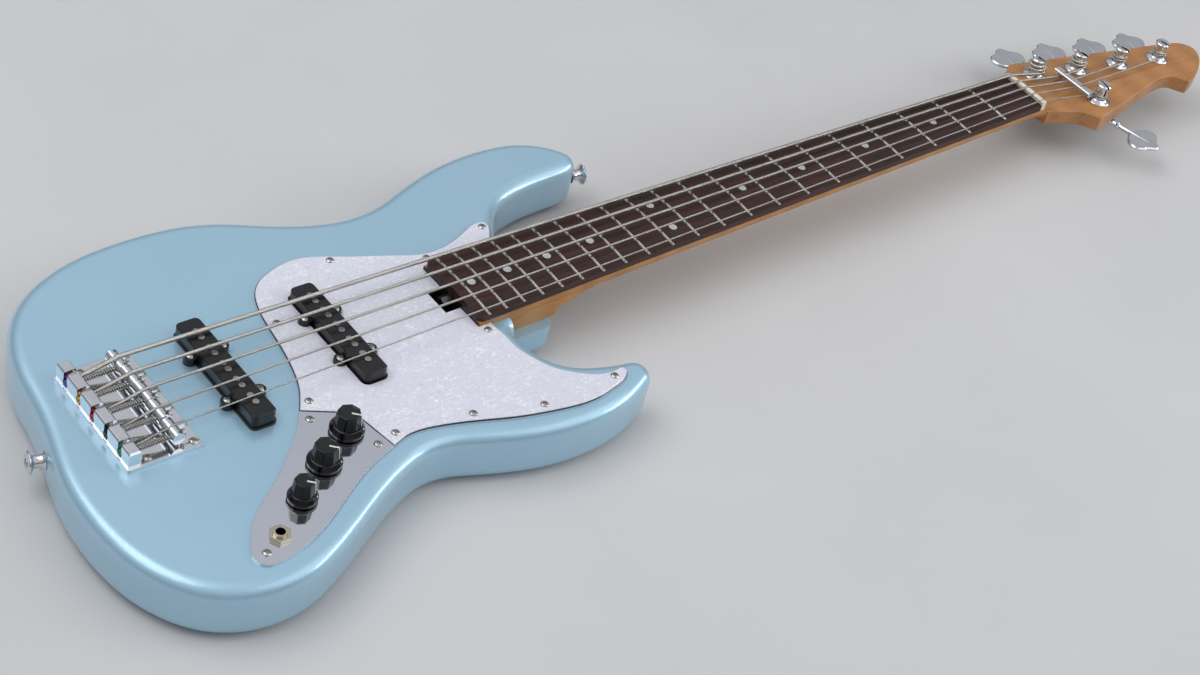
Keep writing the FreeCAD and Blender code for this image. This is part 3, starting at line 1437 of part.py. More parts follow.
def intonation_screw(center):
    """Slotted screw along x through a saddle into the tail block."""
    seat = mm("saddle_radius") + mm("running_gap")
    end = -mm("tail_front") - mm("intonation_reach") - center.x
    top = seat + mm("intonation_head_length")
    head = mm("intonation_head_radius")
    shank = mm("intonation_radius")
    profile = [(0, end), (shank, end), (shank, seat), (head, seat), (head, top), (0, top)]
    solid = faceted(profile, INTONATION_SIDES)
    slot_start = Vector(-SLOT_WIDTH / 2, -2 * head, top - SLOT_DEPTH)
    slot = Part.makeBox(SLOT_WIDTH, 4 * head, 2 * SLOT_DEPTH, slot_start)
    return turn(solid.cut(slot), 90, ACROSS)


SPRING_SIDES = 3
SPRING_BEND = 1.1
SPRING_BEND_TURN = math.radians(50)


def spring(center):
    """Spring between tail block and saddle, wound about the screw's axis, with straight ends."""
    axis_y = center.y - mm("intonation_offset")
    radius = mm("spring_radius")
    first_x = -mm("tail_front") + mm("running_gap")
    last_x = center.x - mm("saddle_radius") - mm("running_gap")
    leg = mm("spring_wire")
    coil_start = first_x + leg + SPRING_BEND
    coil_length = last_x - leg - SPRING_BEND - coil_start
    total = mm("spring_turns") * 2 * math.pi
    wound = total - 2 * SPRING_BEND_TURN
    lead = coil_length / wound

    def on_coil(angle, x):
        return Vector(x, axis_y + radius * math.cos(angle), center.z + radius * math.sin(angle))

    def way_at(angle):
        return Vector(lead, -radius * math.sin(angle), radius * math.cos(angle)).normalize()

    spot, way = on_coil(SPRING_BEND_TURN, coil_start), way_at(SPRING_BEND_TURN)
    route = [Part.LineSegment(on_coil(0, first_x), on_coil(0, first_x + leg)).toShape()]
    route += biarc(on_coil(0, first_x + leg), ALONG, spot, way)
    steps = math.ceil(wound / math.pi)
    for step in range(1, steps + 1):
        angle = SPRING_BEND_TURN + wound * step / steps
        onward, onward_way = on_coil(angle, coil_start + coil_length * step / steps), way_at(angle)
        route += biarc(spot, way, onward, onward_way)
        spot, way = onward, onward_way
    route += biarc(spot, way, on_coil(total, last_x - leg), ALONG)
    route.append(Part.LineSegment(on_coil(total, last_x - leg), on_coil(total, last_x)).toShape())
    return tube(route, leg / 2, SPRING_SIDES)


springs = []
for number in range(STRINGS):
    center = saddle_centers[number]
    group(f"saddle_{number + 1}", [at(solid, center.x, center.y, center.z) for solid in saddle(number)])
    piece(f"intonation_screw_{number + 1}", intonation_screw(center),
          center.x, center.y - mm("intonation_offset"), center.z)
    path, wound_spring = spring(center)
    springs.append(wound_spring)
    print("spring", number + 1, "length", round(path.Length, 1),
          "least gap", round(least_gap(path, mm("spring_wire") / 2, math.pi * mm("spring_radius")), 2))
group("intonation_springs", springs)

# Tuners
gear_pitch_radius = mm("gear_module") * mm("gear_teeth") / 2
worm_distance = gear_pitch_radius + mm("worm_pitch_radius")
worm_lead = math.pi * mm("gear_module")
tip = mm("gear_module") * 0.93
dip = mm("gear_module") * 1.2
gear_low = -mm("worm_depth") - mm("gear_thickness") / 2
gear_high = gear_low + mm("gear_thickness")


def gear_ring(height, twist):
    """Corners of the gear with a tooth gap facing the worm."""
    root = (gear_pitch_radius - dip, mm("tooth_half") * 1.2)
    crest = (gear_pitch_radius + tip, mm("tooth_half") * 0.42)
    points = []
    for tooth in range(int(mm("gear_teeth"))):
        middle = (tooth + 0.5) * 2 * math.pi / mm("gear_teeth") + twist
        for side, (radius, half) in ((-1, root), (-1, crest), (1, crest), (1, root)):
            angle = middle + side * half / radius
            points.append(Vector(radius * math.cos(angle), radius * math.sin(angle), height))
    return points


POST_SIDES = 20
STUB_RADIUS = 3.0
COLLAR_RADIUS = 6.0
lead_slope = worm_lead / (2 * math.pi * mm("worm_pitch_radius"))
gear_twist = mm("gear_thickness") / 2 * lead_slope / gear_pitch_radius
gear = stitched([gear_ring(gear_low, -gear_twist), gear_ring(gear_high, gear_twist)])
gear = gear.cut(prism(STUB_RADIUS + mm("seat_gap"), POST_SIDES, gear_low - 1, gear_high + 1))
collar_low = gear_high + mm("seat_gap")
collar_top = -mm("tuner_plate_thickness") - mm("running_gap")
head = mm("head_thickness")
post_top = head + mm("post_rise")
CAP_LOW = 3.4
CAP_RIM = 2.2
CAP_BEVEL = 0.8
post_solid = faceted([
    (0, gear_low), (STUB_RADIUS, gear_low), (STUB_RADIUS, collar_low), (COLLAR_RADIUS, collar_low),
    (COLLAR_RADIUS, collar_top), (mm("post_radius"), collar_top), (mm("post_radius"), post_top - CAP_LOW),
    (mm("post_cap_radius"), post_top - CAP_RIM), (mm("post_cap_radius"), post_top - CAP_BEVEL),
    (mm("post_cap_radius") - CAP_BEVEL, post_top), (0, post_top),
], POST_SIDES)
gear_seat = gear_low - mm("seat_gap")
gear_screw = faceted([(0, gear_low - 1.5), (3.0, gear_low - 1.5), (3.9, gear_low - 0.8), (3.9, gear_seat),
                      (0, gear_seat)], INTONATION_SIDES)

bushing_bore = outside(mm("post_radius") + mm("running_gap"), BUSHING_SIDES)
BUSHING_RIM = 1.1
BUSHING_LIP = 1.6
bushing_seat = head + mm("seat_gap")
bushing = faceted([
    (bushing_bore, head - mm("bushing_depth")), (mm("bushing_radius"), head - mm("bushing_depth")),
    (mm("bushing_radius"), bushing_seat), (mm("bushing_flange"), bushing_seat),
    (mm("bushing_flange"), head + BUSHING_RIM), (mm("post_radius") + BUSHING_LIP, head + mm("bushing_rise")),
    (bushing_bore, head + mm("bushing_rise")),
], BUSHING_SIDES)

# Mounting plate with two bearing ears for the key
MOUNT_HALF = 15.5
MOUNT_ENDS = (-13.5, 24.0)
MOUNT_BEVEL = 3.0
EAR_HALF = 4.0
plate_low = -mm("tuner_plate_thickness")
back_end, front_end = MOUNT_ENDS
mount_loop = ring([
    (back_end + MOUNT_BEVEL, -MOUNT_HALF), (front_end - MOUNT_BEVEL, -MOUNT_HALF),
    (front_end, -MOUNT_HALF + MOUNT_BEVEL), (front_end, MOUNT_HALF - MOUNT_BEVEL),
    (front_end - MOUNT_BEVEL, MOUNT_HALF), (back_end + MOUNT_BEVEL, MOUNT_HALF),
    (back_end, MOUNT_HALF - MOUNT_BEVEL), (back_end, -MOUNT_HALF + MOUNT_BEVEL)])
mount_holes = [gon(x, y, mm("small_shank") + mm("hole_gap"), SCREW_SIDES) for x, y in TUNER_SCREWS]
mount_face = face_of(mount_loop, gon(0, 0, bushing_bore, BUSHING_SIDES), *mount_holes)
mount = slab(mount_face, plate_low, -mm("seat_gap"))
ear_low = -mm("worm_depth")
ear_corners = [
    (-EAR_HALF, plate_low), (EAR_HALF, plate_low), (EAR_HALF, ear_low - EAR_HALF / 2),
    (EAR_HALF / 2, ear_low - EAR_HALF), (-EAR_HALF / 2, ear_low - EAR_HALF),
    (-EAR_HALF, ear_low - EAR_HALF / 2),
]
ears = []
for start in (mm("ear_span"), -mm("ear_span") - mm("ear_thickness")):
    ear = flat_face([Vector(worm_distance + x, start, z) for x, z in ear_corners])
    ears.append(ear.extrude(ACROSS * mm("ear_thickness")))
ear_out = mm("ear_span") + mm("ear_thickness")
bearing = Part.makeCylinder(
    mm("key_radius") + mm("running_gap"), 4 * ear_out, Vector(worm_distance, -2 * ear_out, ear_low), ACROSS)
mount = mount.fuse(ears).cut(bearing).removeSplitter()

# Worm on the key's shaft, wound about z before it is laid along y
KEY_SIDES = 12
THREAD_STEPS = 12
THREAD_ROOT = 0.2
worm_root = mm("worm_pitch_radius") - dip
worm_tip = mm("worm_pitch_radius") + tip
flank = math.tan(math.radians(20))
thread_base = mm("tooth_half") + (dip + THREAD_ROOT) * flank
thread_crest = mm("tooth_half") - tip * flank
thread_turn = 2 * math.pi * (mm("worm_half_length") - thread_base) / worm_lead


def thread_ring(angle):
    """Corners of the thread after a turn, its middle facing the gear."""
    rise = worm_lead * angle / (2 * math.pi)
    outward = Vector(-math.cos(angle), -math.sin(angle), 0)
    inner = worm_root - THREAD_ROOT
    corners = (
        (inner, -thread_base), (worm_tip, -thread_crest), (worm_tip, thread_crest), (inner, thread_base))
    return [outward * radius + UP * (rise + half) for radius, half in corners]


steps = math.ceil(thread_turn * THREAD_STEPS / math.pi)
thread = stitched([thread_ring(thread_turn * (2 * step / steps - 1)) for step in range(steps + 1)])
KEY_COLLAR = 3.8
COLLAR_LENGTH = 1.8
KEY_BEAD = 3.7
BEAD_SPOT = 22.0
WORM_MARGIN = 0.6
collar_start = ear_out + mm("hole_gap")
core_end = mm("worm_half_length") + WORM_MARGIN
shaft = mm("key_radius")
key_shaft = faceted([
    (0, -collar_start - COLLAR_LENGTH), (KEY_COLLAR, -collar_start - COLLAR_LENGTH),
    (KEY_COLLAR, -collar_start), (shaft, -collar_start), (shaft, -core_end), (worm_root, -core_end),
    (worm_root, core_end), (shaft, core_end), (shaft, collar_start), (KEY_COLLAR, collar_start),
    (KEY_COLLAR, collar_start + COLLAR_LENGTH),
    (shaft, BEAD_SPOT - COLLAR_LENGTH), (KEY_BEAD, BEAD_SPOT), (shaft, BEAD_SPOT + COLLAR_LENGTH),
    (shaft, mm("key_reach")), (0, mm("key_reach")),
], KEY_SIDES).fuse(thread)
turn(key_shaft, -90, ALONG)
PADDLE_HALF = [(3.6, 0.0), (9.5, 2.2), (16.4, 8.0), (18.0, 14.0), (13.6, 20.4), (7.6, 23.2), (4.4, 26.4)]
PADDLE_TIP = 28.6
PADDLE_BEVEL = 0.9
PADDLE_OVERLAP = 2.5
paddle_start = mm("key_reach") - PADDLE_OVERLAP
right = [(x, paddle_start + y) for x, y in PADDLE_HALF]
left = [(-x, y) for x, y in right[::-1]]
top_spot = (0.0, paddle_start + PADDLE_TIP)
paddle_loop = smooth(right + [top_spot] + left, (0.9, 0.3), (0.9, -0.3)) + [line(left[-1], right[0])]
paddle = slab(face_of(paddle_loop), -mm("paddle_thickness") / 2, mm("paddle_thickness") / 2)
paddle = paddle.makeChamfer(PADDLE_BEVEL, [
    edge for edge in paddle.Edges
    if edge.BoundBox.ZLength < 1e-4 and edge.Curve.TypeId == "Part::GeomCircle"])
key_solid = at(key_shaft.fuse(paddle).removeSplitter(), worm_distance, 0, ear_low)

mounts = []
bushings = []
head_screws = []
tuner_screw = turn(small_screw(mm("tuner_plate_thickness")), 180, ALONG)
for number in range(STRINGS):
    mounts.append(on_tuner(mount, number))
    bushings.append(on_tuner(bushing, number))
    head_screws += [on_tuner(at(tuner_screw, x, y, 0), number) for x, y in TUNER_SCREWS]
    x, y = posts[number]
    slot_width = 2 * (WIRES[number] + SLOT_GAP)
    slot_length = 4 * mm("post_cap_radius")
    slot = Part.makeBox(slot_length, slot_width, mm("post_rise"),
                        Vector(-slot_length / 2, -slot_width / 2, slot_levels[number]))
    turn(slot, math.degrees(slot_angles[number]))
    slotted = on_tuner(post_solid, number).cut(at(slot, x, y, 0))
    group(f"tuner_post_{number + 1}", [slotted, on_tuner(gear, number), on_tuner(gear_screw, number)])
    piece(f"tuner_key_{number + 1}", on_tuner(key_solid, number))
group("tuner_plates", mounts)
group("tuner_bushings", bushings)

# String retainer with a rounded underside
RETAINER_CURVE = 5.5
RETAINER_EDGE = 1.6
LEG_RADIUS = 2.1
rise = mm("retainer_rise")
thickness = mm("retainer_thickness")
width = mm("retainer_width")
length = mm("retainer_length")
bar = Part.makeBox(width, length, thickness, Vector(-width / 2, -length / 2, rise))
bar = bar.makeFillet(RETAINER_EDGE, [
    edge for edge in bar.Edges if edge.BoundBox.YLength > width + 1 and edge.BoundBox.ZMin > rise + 1])
bar = bar.common(Part.makeCylinder(
    RETAINER_CURVE, length, Vector(0, -length / 2, rise + RETAINER_CURVE), ACROSS))
leg = prism(LEG_RADIUS, SCREW_SIDES, mm("seat_gap"), rise + 1)
legs = [at(leg, 0, offset, 0) for offset in RETAINER_SCREWS]
shanks = [at(prism(mm("small_shank") + mm("hole_gap"), SCREW_SIDES, -1, 2 * rise + thickness), 0, offset, 0)
          for offset in RETAINER_SCREWS]
piece("string_retainer", bar.fuse(legs).cut(shanks).removeSplitter(), retainer_x, retainer_y, FACE)
retainer_screw = small_screw(rise + thickness)
head_screws += [at(retainer_screw, retainer_x, retainer_y + offset, FACE) for offset in RETAINER_SCREWS]
group("headstock_screws", head_screws)

# Strap buttons
STRAP_SIDES = 24
button_bore = mm("screw_radius") + mm("hole_gap")
button_top = mm("strap_height")
button = faceted([
    (button_bore, mm("strap_gap")), (mm("strap_base_radius"), mm("strap_gap")),
    (mm("strap_waist_radius"), 3.0), (mm("strap_waist_radius"), button_top - 4.0),
    (mm("strap_head_radius"), button_top - 1.6),
    (mm("strap_head_radius") - 1.0, button_top), (button_bore, button_top),
], STRAP_SIDES)
strap_screw = screw(
    mm("screw_head_radius"), mm("screw_head_height"), mm("screw_radius"), button_top, mm("strap_reach"))
buttons = []
button_screws = []
for spot, outward in strap_frames:
    frame = Placement(Vector(spot.x, spot.y, BACK + MID_BODY), strap_turn(outward))
    for solid, store in ((button, buttons), (strap_screw, button_screws)):
        placed = solid.copy()
        placed.Placement = frame
        store.append(placed)
group("strap_buttons", buttons)
group("strap_screws", button_screws)

# Check every piece and write it
doc.recompute()
for item in doc.Objects:
    if "Invalid" in item.State or "Error" in item.State:
        raise RuntimeError("faulty object " + item.Label)
os.makedirs("parts", exist_ok=True)
for item in nodes:
    shape = item.Shape
    if shape.isNull() or not shape.isValid():
        raise RuntimeError("faulty shape " + item.Label)
    shape.exportStep(f"parts/{item.Label}.step")
    print(item.Label, "solids", len(shape.Solids), "volume", round(shape.Volume, 1))
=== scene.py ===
"""Looks of a five-string electric bass guitar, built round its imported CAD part."""
import json
import math
import random
import bpy
from mathutils import Matrix, Vector


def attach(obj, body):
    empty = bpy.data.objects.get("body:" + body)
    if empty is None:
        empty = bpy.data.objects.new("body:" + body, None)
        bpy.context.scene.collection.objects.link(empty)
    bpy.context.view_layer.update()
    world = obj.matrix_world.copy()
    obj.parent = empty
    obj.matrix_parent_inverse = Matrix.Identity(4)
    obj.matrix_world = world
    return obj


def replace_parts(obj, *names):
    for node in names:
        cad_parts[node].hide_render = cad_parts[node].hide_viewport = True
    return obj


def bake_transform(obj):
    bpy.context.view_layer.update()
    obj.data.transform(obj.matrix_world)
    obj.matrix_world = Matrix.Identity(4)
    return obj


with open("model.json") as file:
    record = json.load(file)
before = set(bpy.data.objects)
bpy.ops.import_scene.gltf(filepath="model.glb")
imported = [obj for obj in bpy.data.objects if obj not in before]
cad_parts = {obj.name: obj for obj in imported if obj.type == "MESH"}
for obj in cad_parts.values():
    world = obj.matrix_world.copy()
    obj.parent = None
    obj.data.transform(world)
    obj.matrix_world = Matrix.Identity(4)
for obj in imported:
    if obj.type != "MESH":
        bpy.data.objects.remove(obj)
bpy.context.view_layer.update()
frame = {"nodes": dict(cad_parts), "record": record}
nodes = frame["nodes"]
random.seed(5)

# Sizes in millimetres, as in the CAD source. Plates, pickups, knobs and strings count x from the saddle line
# at SHIFT; posts, saddles, neck screws and strap buttons are placed in the frame itself.
MM = 0.001
SHIFT = -281.97
TOP = 44.0
BACK = 2.0
FACE = 45.25
REAR = 31.75
CROWN = 54.9
BOARD_RADIUS = 350.0
WIRES = [1.65, 1.325, 1.075, 0.825, 0.575]
POSTS = [(624.73, 22.4), (671.62, 12.60), (718.51, 2.81), (765.39, -6.99), (654.03, -30.6)]
POST_RADIUS = 5.0
RETAINER = (644.03, -7.0)
RETAINER_SCREWS = (10.6, -10.5)
# Four tuners stand in a row, and the last one is alone on the treble side
TREBLE = len(POSTS) - 1
ROW_ANGLE = -11.8
TREBLE_ANGLE = 10.9
TUNER_SCREWS = [(-9.5, 12.0), (-9.5, -12.0), (20.5, 0.0)]
SADDLE_CENTERS = [(-279.81, 35.0, 53.21), (-279.78, 17.5, 54.51), (-279.80, 0.0, 54.95),
                  (-279.88, -17.5, 54.51), (-280.01, -35.0, 53.21)]
GUARD_SCREWS = [(191.4, 69.9), (257.0, 43.0), (316.0, 55.0), (252.0, -40.2), (305.6, -118.2), (242.4, -119.0),
                (192.6, -104.1), (134.7, -95.7), (99.6, -45.0), (121.6, 29.5)]
CONTROL_SCREWS = [(91.2, -59.1), (118.9, -98.6), (4.1, -146.1)]
BRIDGE_SCREWS = [(13.0, 43.3), (13.0, -43.3), (-20.0, 43.3), (-20.0, -43.3)]
EAR_SCREWS = [(62.2 + i * 12.3, j * 23.5) for i in (-1, 1) for j in (-1, 1)]
EAR_SCREWS += [(151.5 + i * 12.3, j * 22.0) for i in (-1, 1) for j in (-1, 1)]
NECK_SCREWS = [(-25.5, -19.0), (-25.5, 19.0), (25.5, -19.0), (25.5, 19.0)]
STRAPS = [((-347.56, 2.89, 23.0), (-0.9642, 0.2653, 0.0)), ((157.76, 98.9, 23.0), (0.9781, -0.2079, 0.0))]
KNOBS = [("neck_volume", 107.0, -79.0, 12.0), ("bridge_volume", 77.5, -97.5, 12.0),
         ("tone", 48.0, -117.5, 10.2)]
# Thickness of what lies on the top, the headstock's face or its rear, and the gap under what sits on it
GUARD = 2.4
CONTROL_PLATE = 1.6
BRIDGE_PLATE = 2.5
EAR_TOP = 5.8
RETAINER_TOP = 8.6
TUNER_PLATE = 1.4
SEAT = 0.02


# Materials
def linear(red, green, blue):
    """Display colour in 0 to 255 as a shader colour."""
    parts = [value / 255 for value in (red, green, blue)]
    return tuple(v / 12.92 if v <= 0.04045 else ((v + 0.055) / 1.055) ** 2.4 for v in parts) + (1.0,)


class Finish:
    """Node material with short names for the few nodes that these looks use."""

    def __init__(self, name, **constants):
        self.material = bpy.data.materials.new(name)
        self.material.use_nodes = True
        self.tree = self.material.node_tree
        self.shader = self.tree.nodes["Principled BSDF"]
        for word, value in constants.items():
            self.shader.inputs[word.replace("_", " ")].default_value = value

    def node(self, kind, **settings):
        made = self.tree.nodes.new("ShaderNode" + kind)
        for word, value in settings.items():
            setattr(made, word, value)
        return made

    def link(self, source, target):
        self.tree.links.new(source, target)

    def spots(self, scale=(1, 1, 1), source="Object"):
        """Texture places, scaled along each axis."""
        mapping = self.node("Mapping")
        mapping.inputs["Scale"].default_value = scale
        self.link(self.node("TexCoord").outputs[source], mapping.inputs["Vector"])
        return mapping.outputs["Vector"]

    def noise(self, spots, scale, detail=3.0, roughness=0.5, distortion=0.0):
        made = self.node("TexNoise")
        made.inputs["Scale"].default_value = scale
        made.inputs["Detail"].default_value = detail
        made.inputs["Roughness"].default_value = roughness
        made.inputs["Distortion"].default_value = distortion
        self.link(spots, made.inputs["Vector"])
        return made.outputs["Fac"]

    def cells(self, spots, scale):
        """One chance colour for each cell."""
        made = self.node("TexVoronoi")
        made.inputs["Scale"].default_value = scale
        self.link(spots, made.inputs["Vector"])
        return made.outputs["Color"]

    def wave(self, spots, scale, distortion=0.0):
        """Bands across x."""
        made = self.node("TexWave")
        made.inputs["Scale"].default_value = scale
        made.inputs["Distortion"].default_value = distortion
        self.link(spots, made.inputs["Vector"])
        return made.outputs["Fac"]

    def ramp(self, factor, stops, interpolation="LINEAR"):
        """Colours, or greys given as one number, along a factor."""
        made = self.node("ValToRGB")
        band = made.color_ramp
        band.interpolation = interpolation
        while len(band.elements) < len(stops):
            band.elements.new(1.0)
        for element, (position, color) in zip(band.elements, stops):
            element.position = position
            element.color = color if isinstance(color, tuple) else (color, color, color, 1.0)
        self.link(factor, made.inputs["Fac"])
        return made.outputs["Color"]

    def mix(self, factor, first, second, blend="MIX"):
        """Two colours mixed; the node has them in its sockets 6 and 7, and the result in 2."""
        made = self.node("Mix", data_type="RGBA", blend_type=blend)
        if isinstance(factor, float):
            made.inputs["Factor"].default_value = factor
        else:
            self.link(factor, made.inputs["Factor"])
        self.link(first, made.inputs[6])
        self.link(second, made.inputs[7])
        return made.outputs[2]

    def axis(self, spots, word, low, high):
        """Share of the way between two levels along one axis."""
        parts = self.node("SeparateXYZ")
        self.link(spots, parts.inputs["Vector"])
        span = self.node("MapRange")
        span.inputs["From Min"].default_value = low
        span.inputs["From Max"].default_value = high
        self.link(parts.outputs[word], span.inputs["Value"])
        return span.outputs["Result"]

    def color(self, source):
        self.link(source, self.shader.inputs["Base Color"])

    def rough(self, factor, low, high):
        """Roughness that a factor moves between two values."""
        self.link(self.ramp(factor, [(0.25, low), (0.75, high)]), self.shader.inputs["Roughness"])

    def bump(self, height, strength, distance, target="Normal", edge=0.0):
        """Relief in millimetres, over a softened edge if asked."""
        made = self.node("Bump")
        made.inputs["Strength"].default_value = strength
        made.inputs["Distance"].default_value = distance * MM
        self.link(height, made.inputs["Height"])
        if edge:
            soft = self.node("Bevel", samples=4)
            soft.inputs["Radius"].default_value = edge * MM
            self.link(soft.outputs["Normal"], made.inputs["Normal"])
        self.link(made.outputs["Normal"], self.shader.inputs[target])


def body_paint():
    """Ice-blue metallic paint under clear lacquer."""
    made = Finish("ice_blue_metallic", Metallic=0.5, Coat_Weight=0.8, Coat_Roughness=0.08, IOR=1.5)
    spots = made.spots()
    flakes = made.cells(spots, 2600.0)
    cloud = made.noise(spots, 6.0)
    flake_color = made.ramp(flakes, [(0.0, linear(161, 200, 222)), (0.55, linear(170, 209, 230)),
                                     (1.0, linear(181, 218, 237))])
    cloud_color = made.ramp(cloud, [(0.3, linear(166, 205, 226)), (0.7, linear(174, 212, 232))])
    made.color(made.mix(0.5, flake_color, cloud_color))
    made.rough(made.noise(spots, 420.0), 0.32, 0.42)
    made.bump(made.noise(spots, 900.0, 2.0), 0.02, 0.02)
    made.bump(made.noise(spots, 190.0, 2.0), 0.03, 0.2, "Coat Normal")
    return made.material


def pearloid():
    """Three-ply pickguard plastic: pearl top, dark middle, pale back."""
    made = Finish("pearloid_plastic", Roughness=0.22, Coat_Weight=0.4, Coat_Roughness=0.1)
    spots = made.spots()
    bend = made.noise(spots, 55.0, 4.0, 0.6, 1.2)
    swirl = made.noise(spots, 120.0, 5.0, 0.62, 2.6)
    flecks = made.noise(made.spots((1.0, 1.7, 1.0)), 210.0, 3.0, 0.55, 1.6)
    pale = made.ramp(swirl, [(0.32, linear(213, 214, 229)), (0.5, linear(225, 226, 238)),
                             (0.68, linear(216, 217, 231))])
    spread = made.ramp(bend, [(0.36, 0.2), (0.6, 1.0)])
    share = made.mix(1.0, made.ramp(flecks, [(0.52, 0.0), (0.66, 1.0)]), spread, "MULTIPLY")
    white = made.ramp(swirl, [(0.3, linear(250, 250, 255)), (0.7, linear(255, 255, 255))])
    pearl = made.mix(share, pale, white)
    level = made.axis(spots, "Z", TOP * MM, (TOP + GUARD) * MM)
    ply = made.ramp(level, [(0.0, 0.0), (0.24, 0.0), (0.26, 1.0), (0.78, 1.0), (0.8, 0.0)], "CONSTANT")
    dark = made.ramp(bend, [(0.3, linear(20, 20, 24)), (0.7, linear(34, 34, 38))])
    made.color(made.mix(ply, pearl, dark))
    made.rough(swirl, 0.18, 0.32)
    made.bump(swirl, 0.06, 0.1)
    return made.material


def metal(name, color, low, high, scratch, edge=0.25, wear=0.9):
    """Polished metal with smudges and fine scratches."""
    made = Finish(name, Metallic=1.0)
    spots = made.spots()
    smudge = made.noise(spots, 70.0, 4.0, 0.6)
    fine = made.noise(made.spots((1.0, 9.0, 3.0)), 520.0, 4.0, 0.7)
    deep = tuple(v * wear for v in color[:3]) + (1.0,)
    made.color(made.ramp(smudge, [(0.3, deep), (0.7, color)]))
    made.rough(made.mix(0.45, smudge, fine), low, high)
    made.bump(fine, scratch, 0.03, edge=edge)
    return made.material


def plastic(name, dark, pale, low, high, grain, depth, edge=0.3):
    """Moulded plastic with fine grain."""
    made = Finish(name, Specular_IOR_Level=0.5)
    spots = made.spots()
    cloud = made.noise(spots, 160.0, 4.0, 0.6)
    fine = made.noise(spots, grain, 3.0, 0.6)
    made.color(made.ramp(cloud, [(0.3, dark), (0.7, pale)]))
    made.rough(made.mix(0.5, cloud, fine), low, high)
    made.bump(fine, depth, 0.05, edge=edge)
    return made.material


def rosewood():
    """Dark open-pored fingerboard wood with red streaks along the neck."""
    made = Finish("rosewood", Specular_IOR_Level=0.4)
    figure = made.noise(made.spots((1.0, 17.0, 17.0)), 13.0, 6.0, 0.6, 0.6)
    streak = made.noise(made.spots((1.0, 40.0, 40.0)), 24.0, 5.0, 0.65)
    pores = made.noise(made.spots((1.0, 26.0, 26.0)), 120.0, 3.0, 0.7)
    base = made.ramp(figure, [(0.30, linear(22, 14, 12)), (0.46, linear(38, 24, 21)),
                              (0.58, linear(60, 35, 29)), (0.72, linear(32, 20, 18))])
    red = made.ramp(streak, [(0.42, linear(30, 19, 17)), (0.62, linear(98, 53, 42))])
    wood = made.mix(0.46, base, red)
    dots = made.ramp(pores, [(0.36, linear(70, 55, 50)), (0.44, linear(255, 255, 255))])
    made.color(made.mix(0.8, wood, dots, "MULTIPLY"))
    made.rough(figure, 0.38, 0.56)
    made.bump(pores, 0.3, 0.12)
    return made.material


# Stretches of x over which the wood's colour changes: to the headstock's tan, and to painted shade at the
# heel's end face
HEADSTOCK_START = (575.0, 600.0)
HEEL_END = (-33.90, -33.85)


def maple():
    """Amber neck, tan satin headstock, painted shade on the heel's end face in the truss rod recess, with
    maple's fine lines and faint curl.
    """
    made = Finish("maple", Coat_Weight=0.25, Coat_Roughness=0.25)
    spots = made.spots()
    lines = made.noise(made.spots((1.0, 22.0, 22.0)), 11.0, 6.0, 0.6, 0.4)
    flecks = made.noise(made.spots((1.0, 14.0, 14.0)), 150.0, 3.0, 0.7)
    curl = made.wave(made.spots((1.0, 0.25, 0.25)), 9.0, 5.0)
    amber = made.ramp(lines, [(0.3, linear(168, 110, 48)), (0.5, linear(202, 144, 72)),
                              (0.7, linear(184, 124, 58))])
    tan = made.ramp(lines, [(0.3, linear(169, 112, 60)), (0.5, linear(192, 136, 80)),
                            (0.7, linear(181, 123, 70))])
    share = made.axis(spots, "X", HEADSTOCK_START[0] * MM, HEADSTOCK_START[1] * MM)
    wood = made.mix(share, amber, tan)
    shade = made.ramp(curl, [(0.0, linear(232, 226, 218)), (1.0, linear(255, 255, 255))])
    fleck = made.ramp(flecks, [(0.34, linear(214, 196, 176)), (0.45, linear(255, 255, 255))])
    finished = made.mix(0.7, made.mix(0.8, wood, shade, "MULTIPLY"), fleck, "MULTIPLY")
    # Painted shade: the heel's end face looks into the truss rod recess and is coloured near-black for the
    # shade there
    heel_end = made.axis(spots, "X", HEEL_END[0] * MM, HEEL_END[1] * MM)
    heel_face_shade = made.ramp(lines, [(0.3, linear(16, 14, 13)), (0.7, linear(28, 24, 22))])
    made.color(made.mix(heel_end, heel_face_shade, finished))
    made.rough(lines, 0.34, 0.5)
    made.bump(flecks, 0.12, 0.06)
    return made.material


def pearl_dots():
    """Pale shell of the position dots."""
    made = Finish("pearl_inlay", Roughness=0.2, Coat_Weight=0.3)
    swirl = made.noise(made.spots(), 420.0, 4.0, 0.6, 2.0)
    made.color(made.ramp(swirl, [(0.3, linear(176, 178, 182)), (0.5, linear(214, 214, 212)),
                                 (0.7, linear(196, 200, 206))]))
    made.rough(swirl, 0.16, 0.3)
    made.bump(swirl, 0.05, 0.05)
    return made.material


def bone():
    """Ivory-coloured nut."""
    made = Finish("bone", Subsurface_Weight=0.08, Specular_IOR_Level=0.5)
    made.shader.inputs["Subsurface Scale"].default_value = 0.001
    cloud = made.noise(made.spots((1.0, 0.3, 3.0)), 300.0, 4.0, 0.6)
    made.color(made.ramp(cloud, [(0.3, linear(222, 212, 190)), (0.7, linear(240, 233, 216))]))
    made.rough(cloud, 0.3, 0.45)
    made.bump(cloud, 0.08, 0.05)
    return made.material


# Blender's wave runs through this many radians in one unit
WAVE_RADIANS = 20


def wound_wire(name, pitch):
    """Round-wound nickel string, with painted shade in the grooves between its turns; its turns follow the
    mesh's own length.
    """
    made = Finish(name, Metallic=1.0)
    along = made.spots(source="UV")
    turns = made.wave(along, 2 * math.pi / (WAVE_RADIANS * pitch * MM))
    tarnish = made.noise(made.spots((1.0, 8.0, 8.0)), 60.0, 4.0, 0.65)
    tone = made.ramp(tarnish, [(0.3, linear(205, 201, 194)), (0.7, linear(232, 229, 224))])
    # Painted shade: the grooves between the turns are darkened
    gap_shade = made.ramp(turns, [(0.0, linear(160, 156, 150)), (0.45, linear(255, 255, 255))])
    made.color(made.mix(0.85, tone, gap_shade, "MULTIPLY"))
    made.rough(tarnish, 0.24, 0.4)
    made.bump(turns, 0.7, 0.12)
    return made.material


